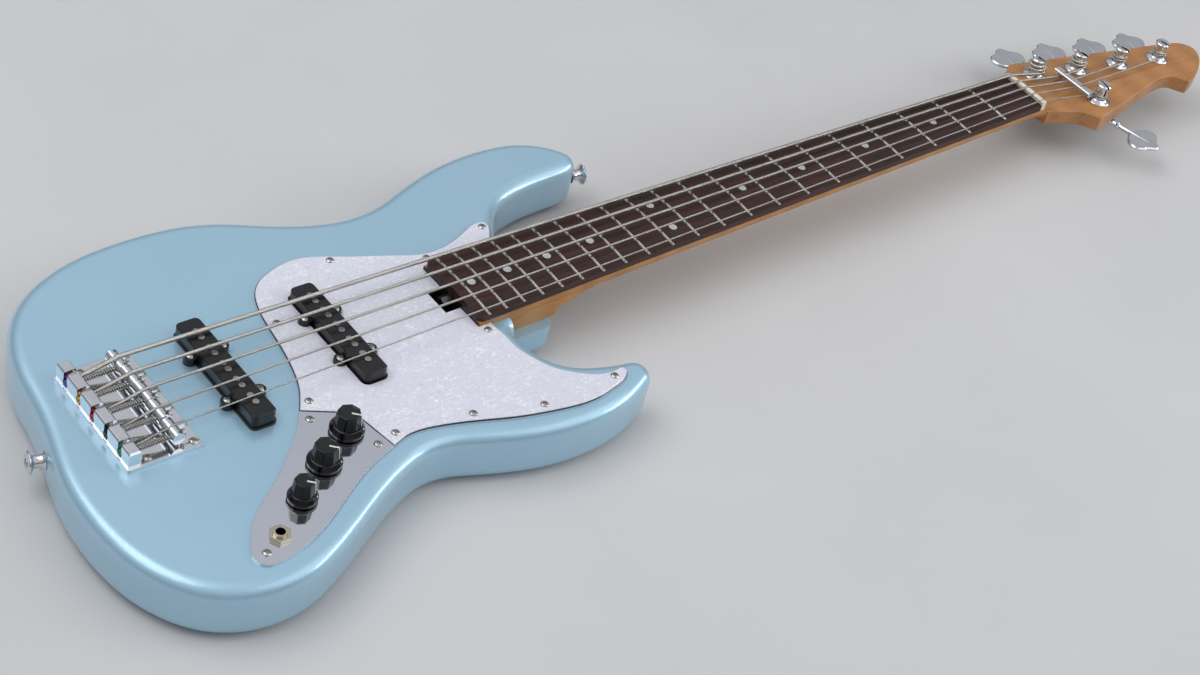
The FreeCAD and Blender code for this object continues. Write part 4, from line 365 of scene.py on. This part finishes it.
def matte(name, dark, pale, scale):
    """Plain painted or powdery surface with a little cloud in it."""
    made = Finish(name, Specular_IOR_Level=0.3)
    cloud = made.noise(made.spots(), scale, 5.0, 0.6)
    made.color(made.ramp(cloud, [(0.3, dark), (0.7, pale)]))
    made.rough(cloud, 0.5, 0.7)
    made.bump(cloud, 0.08, 0.1)
    return made.material


chrome = metal("chrome", linear(226, 228, 232), 0.05, 0.16, 0.05)
plate_chrome = metal("plate_chrome", linear(212, 216, 224), 0.05, 0.08, 0.02, wear=0.98)
nickel = metal("nickel", linear(204, 196, 176), 0.08, 0.18, 0.08)
screw_metal = metal("screw_metal", linear(196, 195, 192), 0.18, 0.34, 0.10, 0.1)
pole_steel = metal("pole_steel", linear(172, 172, 172), 0.22, 0.40, 0.14, 0.2)
spring_steel = metal("spring_steel", linear(178, 176, 172), 0.18, 0.34, 0.08, 0.0)
tool_steel = metal("tool_steel", linear(96, 96, 98), 0.3, 0.5, 0.12)
fret_metal = metal("fret_metal", linear(214, 211, 204), 0.10, 0.24, 0.06, 0.3)
cover_plastic = plastic("cover_plastic", linear(13, 13, 14), linear(20, 20, 22), 0.24, 0.38, 900.0, 0.08, 0.4)
knob_plastic = plastic("knob_plastic", linear(9, 9, 10), linear(15, 15, 16), 0.08, 0.18, 1200.0, 0.02, 0.25)
coil_wire = plastic("coil_wire", linear(96, 44, 24), linear(140, 70, 38), 0.3, 0.5, 3000.0, 0.3)
white_paint = matte("white_paint", linear(222, 222, 220), linear(240, 240, 238), 900.0)
# Near-black matte that lines the truss rod's recess as painted shade
recess_shade_black = matte("recess_shade_black", linear(12, 12, 13), linear(24, 24, 26), 300.0)

SLOT_FINISH = {
    "body_paint": body_paint(), "neck_wood": maple(), "board_wood": rosewood(), "pearl": pearl_dots(),
    "bone": bone(), "guard_plastic": pearloid(), "cover_plastic": cover_plastic, "knob_plastic": knob_plastic,
    "coil_wire": coil_wire, "chrome": chrome, "nickel": nickel, "screw_metal": screw_metal,
    "pole_steel": pole_steel, "spring_steel": spring_steel, "tool_steel": tool_steel, "string_metal": nickel,
}
NODE_FINISH = {"control_plate": plate_chrome, "frets": fret_metal}
NODE_FINISH.update({f"saddle_{number + 1}": chrome for number in range(len(WIRES))})
node_slots = {row["node"]: row["material_slot"] for row in frame["record"]["subparts"]}
for name, node in nodes.items():
    finish = NODE_FINISH.get(name) or SLOT_FINISH.get(node_slots.get(name, ""), nickel)
    node.data.materials.clear()
    node.data.materials.append(finish)


# Mesh helpers; every form is a pair of corner list and face list, in millimetres
def lathe(profile, sides=48):
    """Turned form about z from radius and height pairs."""
    corners = []
    faces = []
    rows = []
    for radius, height in profile:
        if radius < 1e-6:
            rows.append([len(corners)] * sides)
            corners.append(Vector((0, 0, height)))
            continue
        rows.append(list(range(len(corners), len(corners) + sides)))
        for step in range(sides):
            angle = 2 * math.pi * step / sides
            corners.append(Vector((radius * math.cos(angle), radius * math.sin(angle), height)))
    for lower, upper in zip(rows, rows[1:]):
        for i in range(sides):
            j = (i + 1) % sides
            loop = [lower[i], lower[j], upper[j], upper[i]]
            loop = [spot for k, spot in enumerate(loop) if spot != loop[k - 1]]
            if len(loop) > 2:
                faces.append(loop)
    return corners, faces


def moved(form, matrix):
    return [matrix @ corner for corner in form[0]], form[1]


def joined(forms):
    corners = []
    faces = []
    for spots, loops in forms:
        start = len(corners)
        corners += spots
        faces += [[start + i for i in loop] for loop in loops]
    return corners, faces


def piece(name, form, finish, body, uvs=None, sharp=35.0):
    """New object from a form, riding on a CAD body; without one it is left unattached."""
    mesh = bpy.data.meshes.new(name)
    mesh.from_pydata([tuple(corner * MM for corner in spot) for spot in form[0]], [], form[1])
    mesh.update()
    mesh.polygons.foreach_set("use_smooth", [True] * len(mesh.polygons))
    mesh.set_sharp_from_angle(angle=math.radians(sharp))
    if uvs:
        layer = mesh.uv_layers.new(name="along")
        for loop in mesh.loops:
            layer.data[loop.index].uv = uvs[loop.vertex_index]
    mesh.materials.append(finish)
    made = bpy.data.objects.new(name, mesh)
    bpy.context.scene.collection.objects.link(made)
    if body:
        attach(made, body)
    return made


def tube(path, radius, sides=14):
    """Round tube along points, with the length along it for its texture."""
    corners = []
    faces = []
    uvs = []
    lift = Vector((0, 0, 1))
    length = 0.0
    for i, spot in enumerate(path):
        before = path[max(i - 1, 0)]
        after = path[min(i + 1, len(path) - 1)]
        heading = (after - before).normalized()
        lift = (lift - heading * lift.dot(heading)).normalized()
        side = heading.cross(lift)
        length += (spot - before).length * MM
        for step in range(sides):
            angle = 2 * math.pi * step / sides
            corners.append(spot + (lift * math.cos(angle) + side * math.sin(angle)) * radius)
            uvs.append((length, step / sides))
    for i in range(len(path) - 1):
        for step in range(sides):
            a = i * sides + step
            b = i * sides + (step + 1) % sides
            faces.append([a, b, b + sides, a + sides])
    faces.append(list(range(sides))[::-1])
    last = len(corners) - sides
    faces.append(list(range(last, last + sides)))
    return (corners, faces), uvs


ARC_STEPS = 6


def arcs(points, radii):
    """Straight runs through points with an arc at each bend."""
    path = [points[0]]
    for i in range(1, len(points) - 1):
        before = (points[i] - points[i - 1]).normalized()
        after = (points[i + 1] - points[i]).normalized()
        half_turn = before.angle(after) / 2
        reach = radii[i - 1] * math.tan(half_turn)
        inward = (after - before).normalized()
        center = points[i] + inward * (radii[i - 1] / math.cos(half_turn))
        start = points[i] - before * reach - center
        end = points[i] + after * reach - center
        axis = start.cross(end).normalized()
        for step in range(ARC_STEPS + 1):
            path.append(center + Matrix.Rotation(2 * half_turn * step / ARC_STEPS, 3, axis) @ start)
    path.append(points[-1])
    return path


def facing(spot, outward, spin=0.0):
    """Matrix that carries the z axis to a direction at a spot."""
    turn = Vector((0, 0, 1)).rotation_difference(Vector(outward)).to_matrix().to_4x4()
    return Matrix.Translation(spot) @ turn @ Matrix.Rotation(spin, 4, "Z")


# Screws with a domed head and a cross recess, as shares of the head's radius or height
HEAD_RIM = 0.18
CROSS_HALF = 0.16
CROSS_ARM = 0.58
CROSS_TAPER = 0.72
CROSS_FLOOR = 0.1


def cross_mouth(angle, half, arm):
    """Distance from the middle to the edge of the cross recess."""
    folded = abs((angle + math.pi / 4) % (math.pi / 2) - math.pi / 4)
    if folded <= math.atan2(half, arm):
        return arm / math.cos(folded)
    return half / math.sin(folded)


def cross_screw(head, height, shank, reach):
    """Screw about z from the surface that its head sits on."""
    half = head * CROSS_HALF
    arm = head * CROSS_ARM
    tip = math.atan2(half, arm)
    share = [0.0, tip * 0.5, tip, tip + (math.pi / 4 - tip) * 0.3, tip + (math.pi / 4 - tip) * 0.65]
    quarter = share + [math.pi / 4] + [math.pi / 2 - angle for angle in share[:0:-1]]
    angles = [angle + math.pi / 2 * k for k in range(4) for angle in quarter]
    count = len(angles)
    rows = [(lambda angle: shank, -reach), (lambda angle: shank, 0.0), (lambda angle: head, 0.0)]
    rows.append((lambda angle: head, height * HEAD_RIM))
    for level in (0.25, 0.5, 0.75, 1.0):
        rows.append((lambda angle, level=level: head + (cross_mouth(angle, half, arm) - head) * level, None))
    rows.append((lambda angle: cross_mouth(angle, half, arm) * CROSS_TAPER, height * CROSS_FLOOR))
    corners = []
    for radius_at, level in rows:
        for angle in angles:
            radius = radius_at(angle)
            dome = height * (HEAD_RIM + (1 - HEAD_RIM) * math.sqrt(max(0.0, 1 - (radius / head) ** 2)))
            corners.append(Vector((radius * math.cos(angle), radius * math.sin(angle),
                                   dome if level is None else level)))
    faces = []
    for row in range(len(rows) - 1):
        for i in range(count):
            j = (i + 1) % count
            faces.append([row * count + i, row * count + j, (row + 1) * count + j, (row + 1) * count + i])
    faces.append(list(range(count))[::-1])
    faces.append([(len(rows) - 1) * count + i for i in range(count)])
    return corners, faces


def screws(node, form, places):
    """Screws that stand for one CAD node; each is turned by chance."""
    placed = [moved(form, facing(spot, outward, random.uniform(0, math.pi / 2))) for spot, outward in places]
    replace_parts(piece(node + "_fine", joined(placed), screw_metal, "frame"), node)


def on_top(places, height):
    """Seats of screws at a height over the body's top."""
    return [((x + SHIFT, y, TOP + height + SEAT), UP) for x, y in places]


def tuner_place(number):
    """Matrix of a tuner on the headstock's rear; the treble side's one is mirrored."""
    x, y = POSTS[number]
    treble = number == TREBLE
    turn = Matrix.Rotation(math.radians(TREBLE_ANGLE if treble else ROW_ANGLE), 4, "Z")
    flip = Matrix.Scale(-1 if treble else 1, 4, (0, 1, 0))
    return Matrix.Translation((x, y, REAR)) @ turn @ flip


UP = (0, 0, 1)
DOWN = (0, 0, -1)
BUTTON_TOP = 11.5
wood_screw = cross_screw(head=3.0, height=1.3, shank=1.5, reach=14.0)
small_screw = cross_screw(head=2.2, height=1.0, shank=1.1, reach=9.0)
neck_screw = cross_screw(head=4.4, height=1.75, shank=2.1, reach=38.9)
strap_screw = cross_screw(head=3.0, height=1.3, shank=1.5, reach=33.0)
screws("plate_screws", wood_screw, on_top(GUARD_SCREWS, GUARD) + on_top(CONTROL_SCREWS, CONTROL_PLATE))
screws("bridge_screws", wood_screw, on_top(BRIDGE_SCREWS, BRIDGE_PLATE))
screws("pickup_screws", wood_screw, on_top(EAR_SCREWS, EAR_TOP))
on_head = [((RETAINER[0], RETAINER[1] + y, FACE + RETAINER_TOP + SEAT), UP) for y in RETAINER_SCREWS]
for number in range(len(POSTS)):
    for x, y in TUNER_SCREWS:
        on_head.append((tuner_place(number) @ Vector((x, y, -TUNER_PLATE - SEAT)), DOWN))
screws("headstock_screws", small_screw, on_head)
screws("neck_screws", neck_screw, [((x, y, BACK - SEAT), DOWN) for x, y in NECK_SCREWS])
strap_tops = [(Vector(spot) + Vector(outward) * (BUTTON_TOP + SEAT), outward) for spot, outward in STRAPS]
screws("strap_screws", strap_screw, strap_tops)

# Strap buttons and tuner bushings, turned smooth
button = lathe([(1.7, 0.1), (6.0, 0.1), (6.2, 0.4), (5.2, 1.4), (4.4, 3.0), (4.4, 7.5), (5.4, 8.4),
                (7.6, 9.3), (8.2, 9.8), (8.3, 10.4), (7.9, 11.1), (7.0, BUTTON_TOP), (3.4, BUTTON_TOP),
                (1.7, BUTTON_TOP), (1.7, 0.1)])
buttons = joined([moved(button, facing(spot, outward)) for spot, outward in STRAPS])
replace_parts(piece("strap_buttons_fine", buttons, chrome, "frame"), "strap_buttons")
bushing = lathe([(5.12, -8.0), (7.0, -8.0), (7.0, SEAT), (10.2, SEAT), (10.4, 0.2), (10.4, 0.9),
                 (10.1, 1.25), (8.2, 2.1), (7.0, 2.9), (6.6, 3.35), (6.4, 3.5), (5.12, 3.5), (5.12, -8.0)])
bushings = joined([moved(bushing, Matrix.Translation((x, y, FACE))) for x, y in POSTS])
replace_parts(piece("tuner_bushings_fine", bushings, chrome, "frame"), "tuner_bushings")


# Strings, with the ball that anchors each one. A rise is the height over the surface below, a bend is the
# radius of an arc, and the last values lead a string round its post and into the slot.
MIDDLE = len(WIRES) // 2
BRIDGE_PITCH = 17.5
NUT_PITCH = 9.5
BALL_X = -31.5
BALL_RISE = 6.5
BALL_LENGTH = 4.0
SADDLE_X = 1.5
SADDLE_RISE = 3.85
SADDLE_BEND = 3.8
NUT_X = 866.5
NUT_RISE = 1.75
NUT_BEND = 12.0
RETAINER_RISE = 4.45
RETAINER_BEND = 8.0
WRAP = math.radians(675)
WRAP_STEPS = 90
WRAP_RISE = 4.0
WRAP_GAP = 0.15
TURN_GAP = 0.45
SLOT_TURN = math.radians(55)
SLOT_RISE = 0.3
SLOT_DEPTH = 0.5
SLOT_PULL = 0.45
SLOT_STEPS = 12
SLOT_REACH = 0.2


def string_path(number):
    """Middle line of a string from its ball to its end in the post's slot."""
    wire = WIRES[number]

    def drop(y):
        return BOARD_RADIUS - math.sqrt(BOARD_RADIUS ** 2 - y * y)

    ball = Vector((BALL_X + SHIFT, (MIDDLE - number) * BRIDGE_PITCH, TOP + BALL_RISE))
    saddle = Vector((SADDLE_X + SHIFT, ball.y, CROWN - drop(ball.y) + SADDLE_RISE + wire))
    nut_y = (MIDDLE - number) * NUT_PITCH
    nut = Vector((NUT_X + SHIFT, nut_y, CROWN - drop(nut_y) + NUT_RISE + wire))
    post_x, post_y = POSTS[number]
    side = -1 if number == TREBLE else 1
    radius = POST_RADIUS + wire + WRAP_GAP
    low = FACE + WRAP_RISE + wire
    slope = (2 * wire + TURN_GAP) / (2 * math.pi)

    def first_touch(spot):
        away = Vector((spot.x - post_x, spot.y - post_y))
        return math.atan2(away.y, away.x) + side * math.acos(radius / away.length)

    def wound(first, angle):
        here = first + side * angle
        return Vector((post_x + radius * math.cos(here), post_y + radius * math.sin(here),
                       low + slope * angle))

    bends = [saddle, nut]
    radii = [SADDLE_BEND + wire, NUT_BEND]
    if number > 0:
        end = wound(first_touch(nut), 0)
        share = (RETAINER[0] - nut.x) / (end.x - nut.x)
        bends.append(Vector((RETAINER[0], nut.y + share * (end.y - nut.y), FACE + RETAINER_RISE - wire)))
        radii.append(RETAINER_BEND)
    first = first_touch(bends[-1])
    path = arcs([ball] + bends + [wound(first, 0)], radii)[:-1]
    path += [wound(first, WRAP * step / WRAP_STEPS) for step in range(WRAP_STEPS + 1)]
    slot_angle = first + side * (WRAP + SLOT_TURN)
    inward = Vector((-math.cos(slot_angle), -math.sin(slot_angle), 0))
    start = path[-1]
    mouth = Vector((post_x, post_y, start.z + SLOT_RISE)) - inward * (POST_RADIUS - SLOT_DEPTH)
    heading = (start - path[-2]).normalized()
    reach = (mouth - start).length * SLOT_PULL
    for step in range(1, SLOT_STEPS + 1):
        t = step / SLOT_STEPS
        path.append(start * (1 - t) ** 3 + (start + heading * reach) * (3 * t * (1 - t) ** 2)
                    + (mouth - inward * reach) * (3 * t * t * (1 - t)) + mouth * t ** 3)
    path.append(mouth + inward * (2 * wire + SLOT_REACH))
    return path


BALL_COLORS = [("purple", (92, 58, 138)), ("gold", (196, 158, 74)), ("red", (178, 40, 44)),
               ("black", (34, 34, 36)), ("green", (44, 128, 84))]
ball_form = lathe([(0.7, 0), (2.3, 0), (2.6, 0.25), (2.7, 0.6), (2.6, 1.1), (2.15, 1.6), (2.0, 2.0),
                   (2.15, 2.4), (2.6, 2.9), (2.7, 3.4), (2.6, 3.75), (2.3, BALL_LENGTH), (0.7, BALL_LENGTH),
                   (0.7, 0)], 32)
# The arc over the saddle starts at point 1 of a path. A string is cut at the crest into a run and a tail.
CREST = 1 + ARC_STEPS // 2
for number, wire in enumerate(WIRES):
    path = string_path(number)
    pitch = 0.22 + 0.14 * wire
    finish = wound_wire(f"wound_string_{number + 1}", pitch)
    form, uvs = tube(path[CREST:], wire)
    run = piece(f"string_{number + 1}_wound", form, finish, None, uvs, 50.0)
    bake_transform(run)
    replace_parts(run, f"string_{number + 1}")
    form, uvs = tube(path[:CREST + 1], wire)
    tail = piece(f"string_{number + 1}_tail", form, finish, None, uvs, 50.0)
    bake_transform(tail)
    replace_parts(tail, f"string_{number + 1}")
    word, tint = BALL_COLORS[number]
    enamel = metal("ball_" + word, linear(*tint), 0.25, 0.42, 0.06, 0.1)
    ball = moved(ball_form, facing(path[0] - Vector((BALL_LENGTH + SEAT, 0, 0)), (1, 0, 0)))
    piece(f"ball_end_{number + 1}", ball, enamel, "frame")

# Springs on the intonation screws, from the tail block to the saddle
SPRING_TURNS = 14
SPRING_RADIUS = 1.85
SPRING_WIRE = 0.42
SPRING_START = -26.1
TURN_STEPS = 20
SCREW_ASIDE = 4.1
SADDLE_BACK = 5.0
for number, (x, y, z) in enumerate(SADDLE_CENTERS):
    first = SHIFT + SPRING_START
    last = x - SADDLE_BACK
    steps = SPRING_TURNS * TURN_STEPS
    coil = []
    for step in range(steps + 1):
        share = step / steps
        angle = 2 * math.pi * SPRING_TURNS * share
        around = Vector((0, math.cos(angle), math.sin(angle))) * SPRING_RADIUS
        coil.append(Vector((first + (last - first) * share, y - SCREW_ASIDE, z)) + around)
    form = tube(coil, SPRING_WIRE, 8)[0]
    spring = piece(f"spring_{number + 1}", form, spring_steel, None, None, 60.0)
    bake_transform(spring)
    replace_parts(spring, "intonation_springs")


# Knobs: rounded eight-sided grip on a turned flange with a sloping rim, a painted pointer and a dot
def grip_radius(angle, corner):
    """Radius of an octagon with cut corners, one of which faces x."""
    folded = (angle + math.pi / 8) % (math.pi / 4) - math.pi / 8
    flat = corner * math.cos(math.pi / 8) / math.cos(math.pi / 8 - abs(folded))
    return min(flat, corner * CORNER_CUT)


CORNER_CUT = 0.988
POINTER = math.radians(-46)
POINTER_HALF = 0.62
POINTER_SINK = Vector((0.25, 0, 0.3))
GRIP_SIDES = 96
GRIP_SHARE = 0.79
KNOB_TOP = 17.0
FLANGE_TOP = 6.8
# Share of the rim and height at both ends of the flange's slope, where the dot sits
SLOPE_LOW = (0.985, 3.9)
SLOPE_HIGH = (0.84, 6.5)
for name, x, y, rim in KNOBS:
    middle = Vector((x + SHIFT, y, TOP + CONTROL_PLATE))
    corner = rim * GRIP_SHARE
    slope = [(rim * share, level) for share, level in (SLOPE_LOW, SLOPE_HIGH)]
    flange = [(7.2, 5.3), (7.2, 0.8), (rim - 0.3, 0.8), (rim, 1.1), (rim, 3.4)] + slope
    flange.append((rim * 0.80, FLANGE_TOP))
    grip = [(1.0, FLANGE_TOP), (0.985, FLANGE_TOP + 0.5), (0.875, KNOB_TOP - 1.0), (0.862, KNOB_TOP - 0.5),
            (0.84, KNOB_TOP - 0.15), (0.81, KNOB_TOP), (0.70, KNOB_TOP), (0.66, KNOB_TOP - 0.25),
            (0.30, KNOB_TOP - 0.4)]
    spots = []
    angles = [2 * math.pi * step / GRIP_SIDES for step in range(GRIP_SIDES)]
    for radius, level in flange:
        spots += [Vector((radius * math.cos(angle), radius * math.sin(angle), level)) for angle in angles]
    for share, level in grip:
        for angle in angles:
            radius = grip_radius(angle, corner) * share
            spots.append(Vector((radius * math.cos(angle), radius * math.sin(angle), level)))
    rows = len(flange) + len(grip)
    loops = [[row * GRIP_SIDES + i, row * GRIP_SIDES + (i + 1) % GRIP_SIDES,
              (row + 1) * GRIP_SIDES + (i + 1) % GRIP_SIDES, (row + 1) * GRIP_SIDES + i]
             for row in range(rows - 1) for i in range(GRIP_SIDES)]
    loops.append(list(range(GRIP_SIDES))[::-1])
    loops.append([(rows - 1) * GRIP_SIDES + i for i in range(GRIP_SIDES)])
    form = moved((spots, loops), Matrix.Translation(middle))
    knob = piece(name + "_knob_fine", form, knob_plastic, name, None, 12.0)
    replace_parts(knob, name + "_knob")
    reach = grip_radius(POINTER, corner)
    line = [(reach * 0.16, KNOB_TOP - 0.34), (reach * 0.65, KNOB_TOP - 0.18), (reach * 0.70, KNOB_TOP + 0.06),
            (reach * 0.82, KNOB_TOP + 0.06), (reach * 0.852, KNOB_TOP - 0.2),
            (reach * 0.885, KNOB_TOP - 0.95), (reach * 0.995, FLANGE_TOP + 0.7)]
    sides = (-POINTER_HALF, POINTER_HALF)
    strip = [Vector((along, across, level)) for along, level in line for across in sides]
    strip += [spot - POINTER_SINK for spot in strip]
    low = 2 * len(line)
    faces = []
    for i in range(len(line) - 1):
        a = 2 * i
        faces += [[a, a + 2, a + 3, a + 1], [low + a, low + a + 1, low + a + 3, low + a + 2],
                  [a, low + a, low + a + 2, a + 2], [a + 1, a + 3, low + a + 3, low + a + 1]]
    faces += [[0, 1, low + 1, low], [low - 2, 2 * low - 2, 2 * low - 1, low - 1]]
    place = Matrix.Translation(middle) @ Matrix.Rotation(POINTER, 4, "Z")
    piece(name + "_pointer", moved((strip, faces), place), white_paint, name, None, 20.0)
    dot = lathe([(0, -0.4), (0.75, -0.4), (0.75, 0.03), (0.6, 0.1), (0, 0.12)], 20)
    (outer, foot), (inner, head) = slope
    outward = Vector((head - foot, 0, outer - inner)).normalized()
    on_slope = place @ facing(((outer + inner) / 2, 0, (foot + head) / 2), outward)
    piece(name + "_dot", moved(dot, on_slope), white_paint, name)


# Raised ridge along each tuner key's paddle, on both faces
def ridge_form():
    """Long drop along y, from the shaft to a point on the paddle."""
    corners = []
    faces = []
    sides = 12
    stations = [(33.5, 2.5, 2.9), (36.5, 2.4, 2.8), (42.0, 1.9, 2.45), (48.0, 1.4, 2.1), (54.0, 0.8, 1.85),
                (58.0, 0.25, 1.6)]
    for along, half, rise in stations:
        for step in range(sides):
            angle = 2 * math.pi * step / sides
            corners.append(Vector((half * math.cos(angle), along, rise * math.sin(angle))))
    for row in range(len(stations) - 1):
        for i in range(sides):
            j = (i + 1) % sides
            faces.append([row * sides + i, (row + 1) * sides + i, (row + 1) * sides + j, row * sides + j])
    faces.append(list(range(sides)))
    faces.append([(len(stations) - 1) * sides + i for i in range(sides)][::-1])
    return corners, faces


KEY_AXIS = (12.5, 0, -5.9)
for number in range(len(POSTS)):
    corners, faces = moved(ridge_form(), tuner_place(number) @ Matrix.Translation(KEY_AXIS))
    if number == TREBLE:
        faces = [loop[::-1] for loop in faces]
    piece(f"key_ridge_{number + 1}", (corners, faces), chrome, f"key_{number + 1}")

# Dark sockets of the saddles' height screws
SOCKET_AHEAD = 1.4
SOCKET_ASIDE = 6.9
socket = lathe([(0, 3.84), (0.98, 3.84), (0.98, 4.15), (0.62, 4.15), (0.5, 3.86), (0, 3.86)], 18)
for number, (x, y, z) in enumerate(SADDLE_CENTERS):
    spots = [(x + SOCKET_AHEAD, y + side * SOCKET_ASIDE, z) for side in (-1, 1)]
    pair = [moved(socket, Matrix.Translation(spot)) for spot in spots]
    piece(f"set_screw_sockets_{number + 1}", joined(pair), tool_steel, f"saddle_slide_{number + 1}")


# Painted shade: thin black sheets lining the truss rod's recess, standing in for the shade inside it
def block(low, high):
    """Plain box between two corners."""
    corners = [Vector((x, y, z)) for z in (low[2], high[2]) for x, y in
               ((low[0], low[1]), (high[0], low[1]), (high[0], high[1]), (low[0], high[1]))]
    return corners, [[3, 2, 1, 0], [4, 5, 6, 7], [0, 1, 5, 4], [1, 2, 6, 5], [2, 3, 7, 6], [3, 0, 4, 7]]


RECESS_LOW = (-46.95, -12.45, TOP - 13.95)
RECESS_HIGH = (-34.1, 12.45, TOP - 0.05)
# Thickness of the painted shade sheets
SHADE_SHEET = 0.25
recess_floor_shade = block(RECESS_LOW, (RECESS_HIGH[0], RECESS_HIGH[1], RECESS_LOW[2] + SHADE_SHEET))
recess_back_shade = block(RECESS_LOW, (RECESS_LOW[0] + SHADE_SHEET, RECESS_HIGH[1], RECESS_HIGH[2]))
recess_treble_shade = block(RECESS_LOW, (RECESS_HIGH[0], RECESS_LOW[1] + SHADE_SHEET, RECESS_HIGH[2]))
recess_bass_shade = block((RECESS_LOW[0], RECESS_HIGH[1] - SHADE_SHEET, RECESS_LOW[2]), RECESS_HIGH)
recess_shade_sheets = joined([recess_floor_shade, recess_back_shade, recess_treble_shade, recess_bass_shade])
piece("truss_recess_shade", recess_shade_sheets, recess_shade_black, "frame", None, 20.0)

# Floor and light, in metres
FLOOR = 14.0
FLOOR_DROP = 0.0005
floor_mesh = bpy.data.meshes.new("floor")
ends = [(-FLOOR, -FLOOR, 0), (FLOOR, -FLOOR, 0), (FLOOR, FLOOR, 0), (-FLOOR, FLOOR, 0)]
floor_mesh.from_pydata(ends, [], [[0, 1, 2, 3]])
floor_mesh.materials.append(matte("pale_floor", linear(206, 206, 206), linear(212, 212, 212), 3.0))
floor = bpy.data.objects.new("floor", floor_mesh)
floor.location.z = -FLOOR_DROP
bpy.context.scene.collection.objects.link(floor)


def lamp(name, spot, aim, width, depth, power):
    """Soft box at a spot, turned to what it lights."""
    data = bpy.data.lights.new(name, "AREA")
    data.shape = "RECTANGLE"
    data.size = width
    data.size_y = depth
    data.energy = power
    made = bpy.data.objects.new(name, data)
    made.location = spot
    made.rotation_euler = (Vector(aim) - Vector(spot)).to_track_quat("-Z", "Y").to_euler()
    bpy.context.scene.collection.objects.link(made)


lamp("key", (-1.1, 0.7, 2.3), (0.1, 0, 0), width=2.3, depth=1.6, power=23)
lamp("fill", (1.3, -1.5, 2.1), (0.1, 0, 0), width=2.4, depth=1.8, power=10)
lamp("edge", (2.3, -1.4, 0.95), (-0.1, 0, 0), width=1.6, depth=0.6, power=17)
world = bpy.data.worlds.new("studio")
bpy.context.scene.world = world
world.use_nodes = True
tree = world.node_tree
place = tree.nodes.new("ShaderNodeTexCoord")
parts = tree.nodes.new("ShaderNodeSeparateXYZ")
sky = tree.nodes.new("ShaderNodeValToRGB")
low_sky, high_sky = sky.color_ramp.elements
low_sky.position = 0.05
low_sky.color = (0.10, 0.10, 0.11, 1)
high_sky.position = 0.75
high_sky.color = (0.62, 0.63, 0.66, 1)
tree.links.new(place.outputs["Generated"], parts.inputs["Vector"])
tree.links.new(parts.outputs["Z"], sky.inputs["Fac"])
tree.links.new(sky.outputs["Color"], tree.nodes["Background"].inputs["Color"])
tree.nodes["Background"].inputs["Strength"].default_value = 1.0
bpy.context.scene.view_settings.view_transform = "Standard"

# Camera solved from the photograph
RIGHT = Vector((0.76645963, -0.6099056, 0.20138222))
LOW = Vector((-0.29132523, -0.60954445, -0.73728229))
AHEAD = Vector((0.57242401, 0.50642939, -0.6448721))
EYE = (-0.848807, -0.867468, 1.046532)
LENS = 65.546
SENSOR = 36.0
camera_data = bpy.data.cameras.new("camera")
camera_data.sensor_fit = "HORIZONTAL"
camera_data.sensor_width = SENSOR
camera_data.lens = LENS
camera = bpy.data.objects.new("camera", camera_data)
bpy.context.scene.collection.objects.link(camera)
axes = Matrix((RIGHT, -LOW, -AHEAD)).transposed().to_4x4()
camera.matrix_world = Matrix.Translation(EYE) @ axes
bpy.context.scene.camera = camera
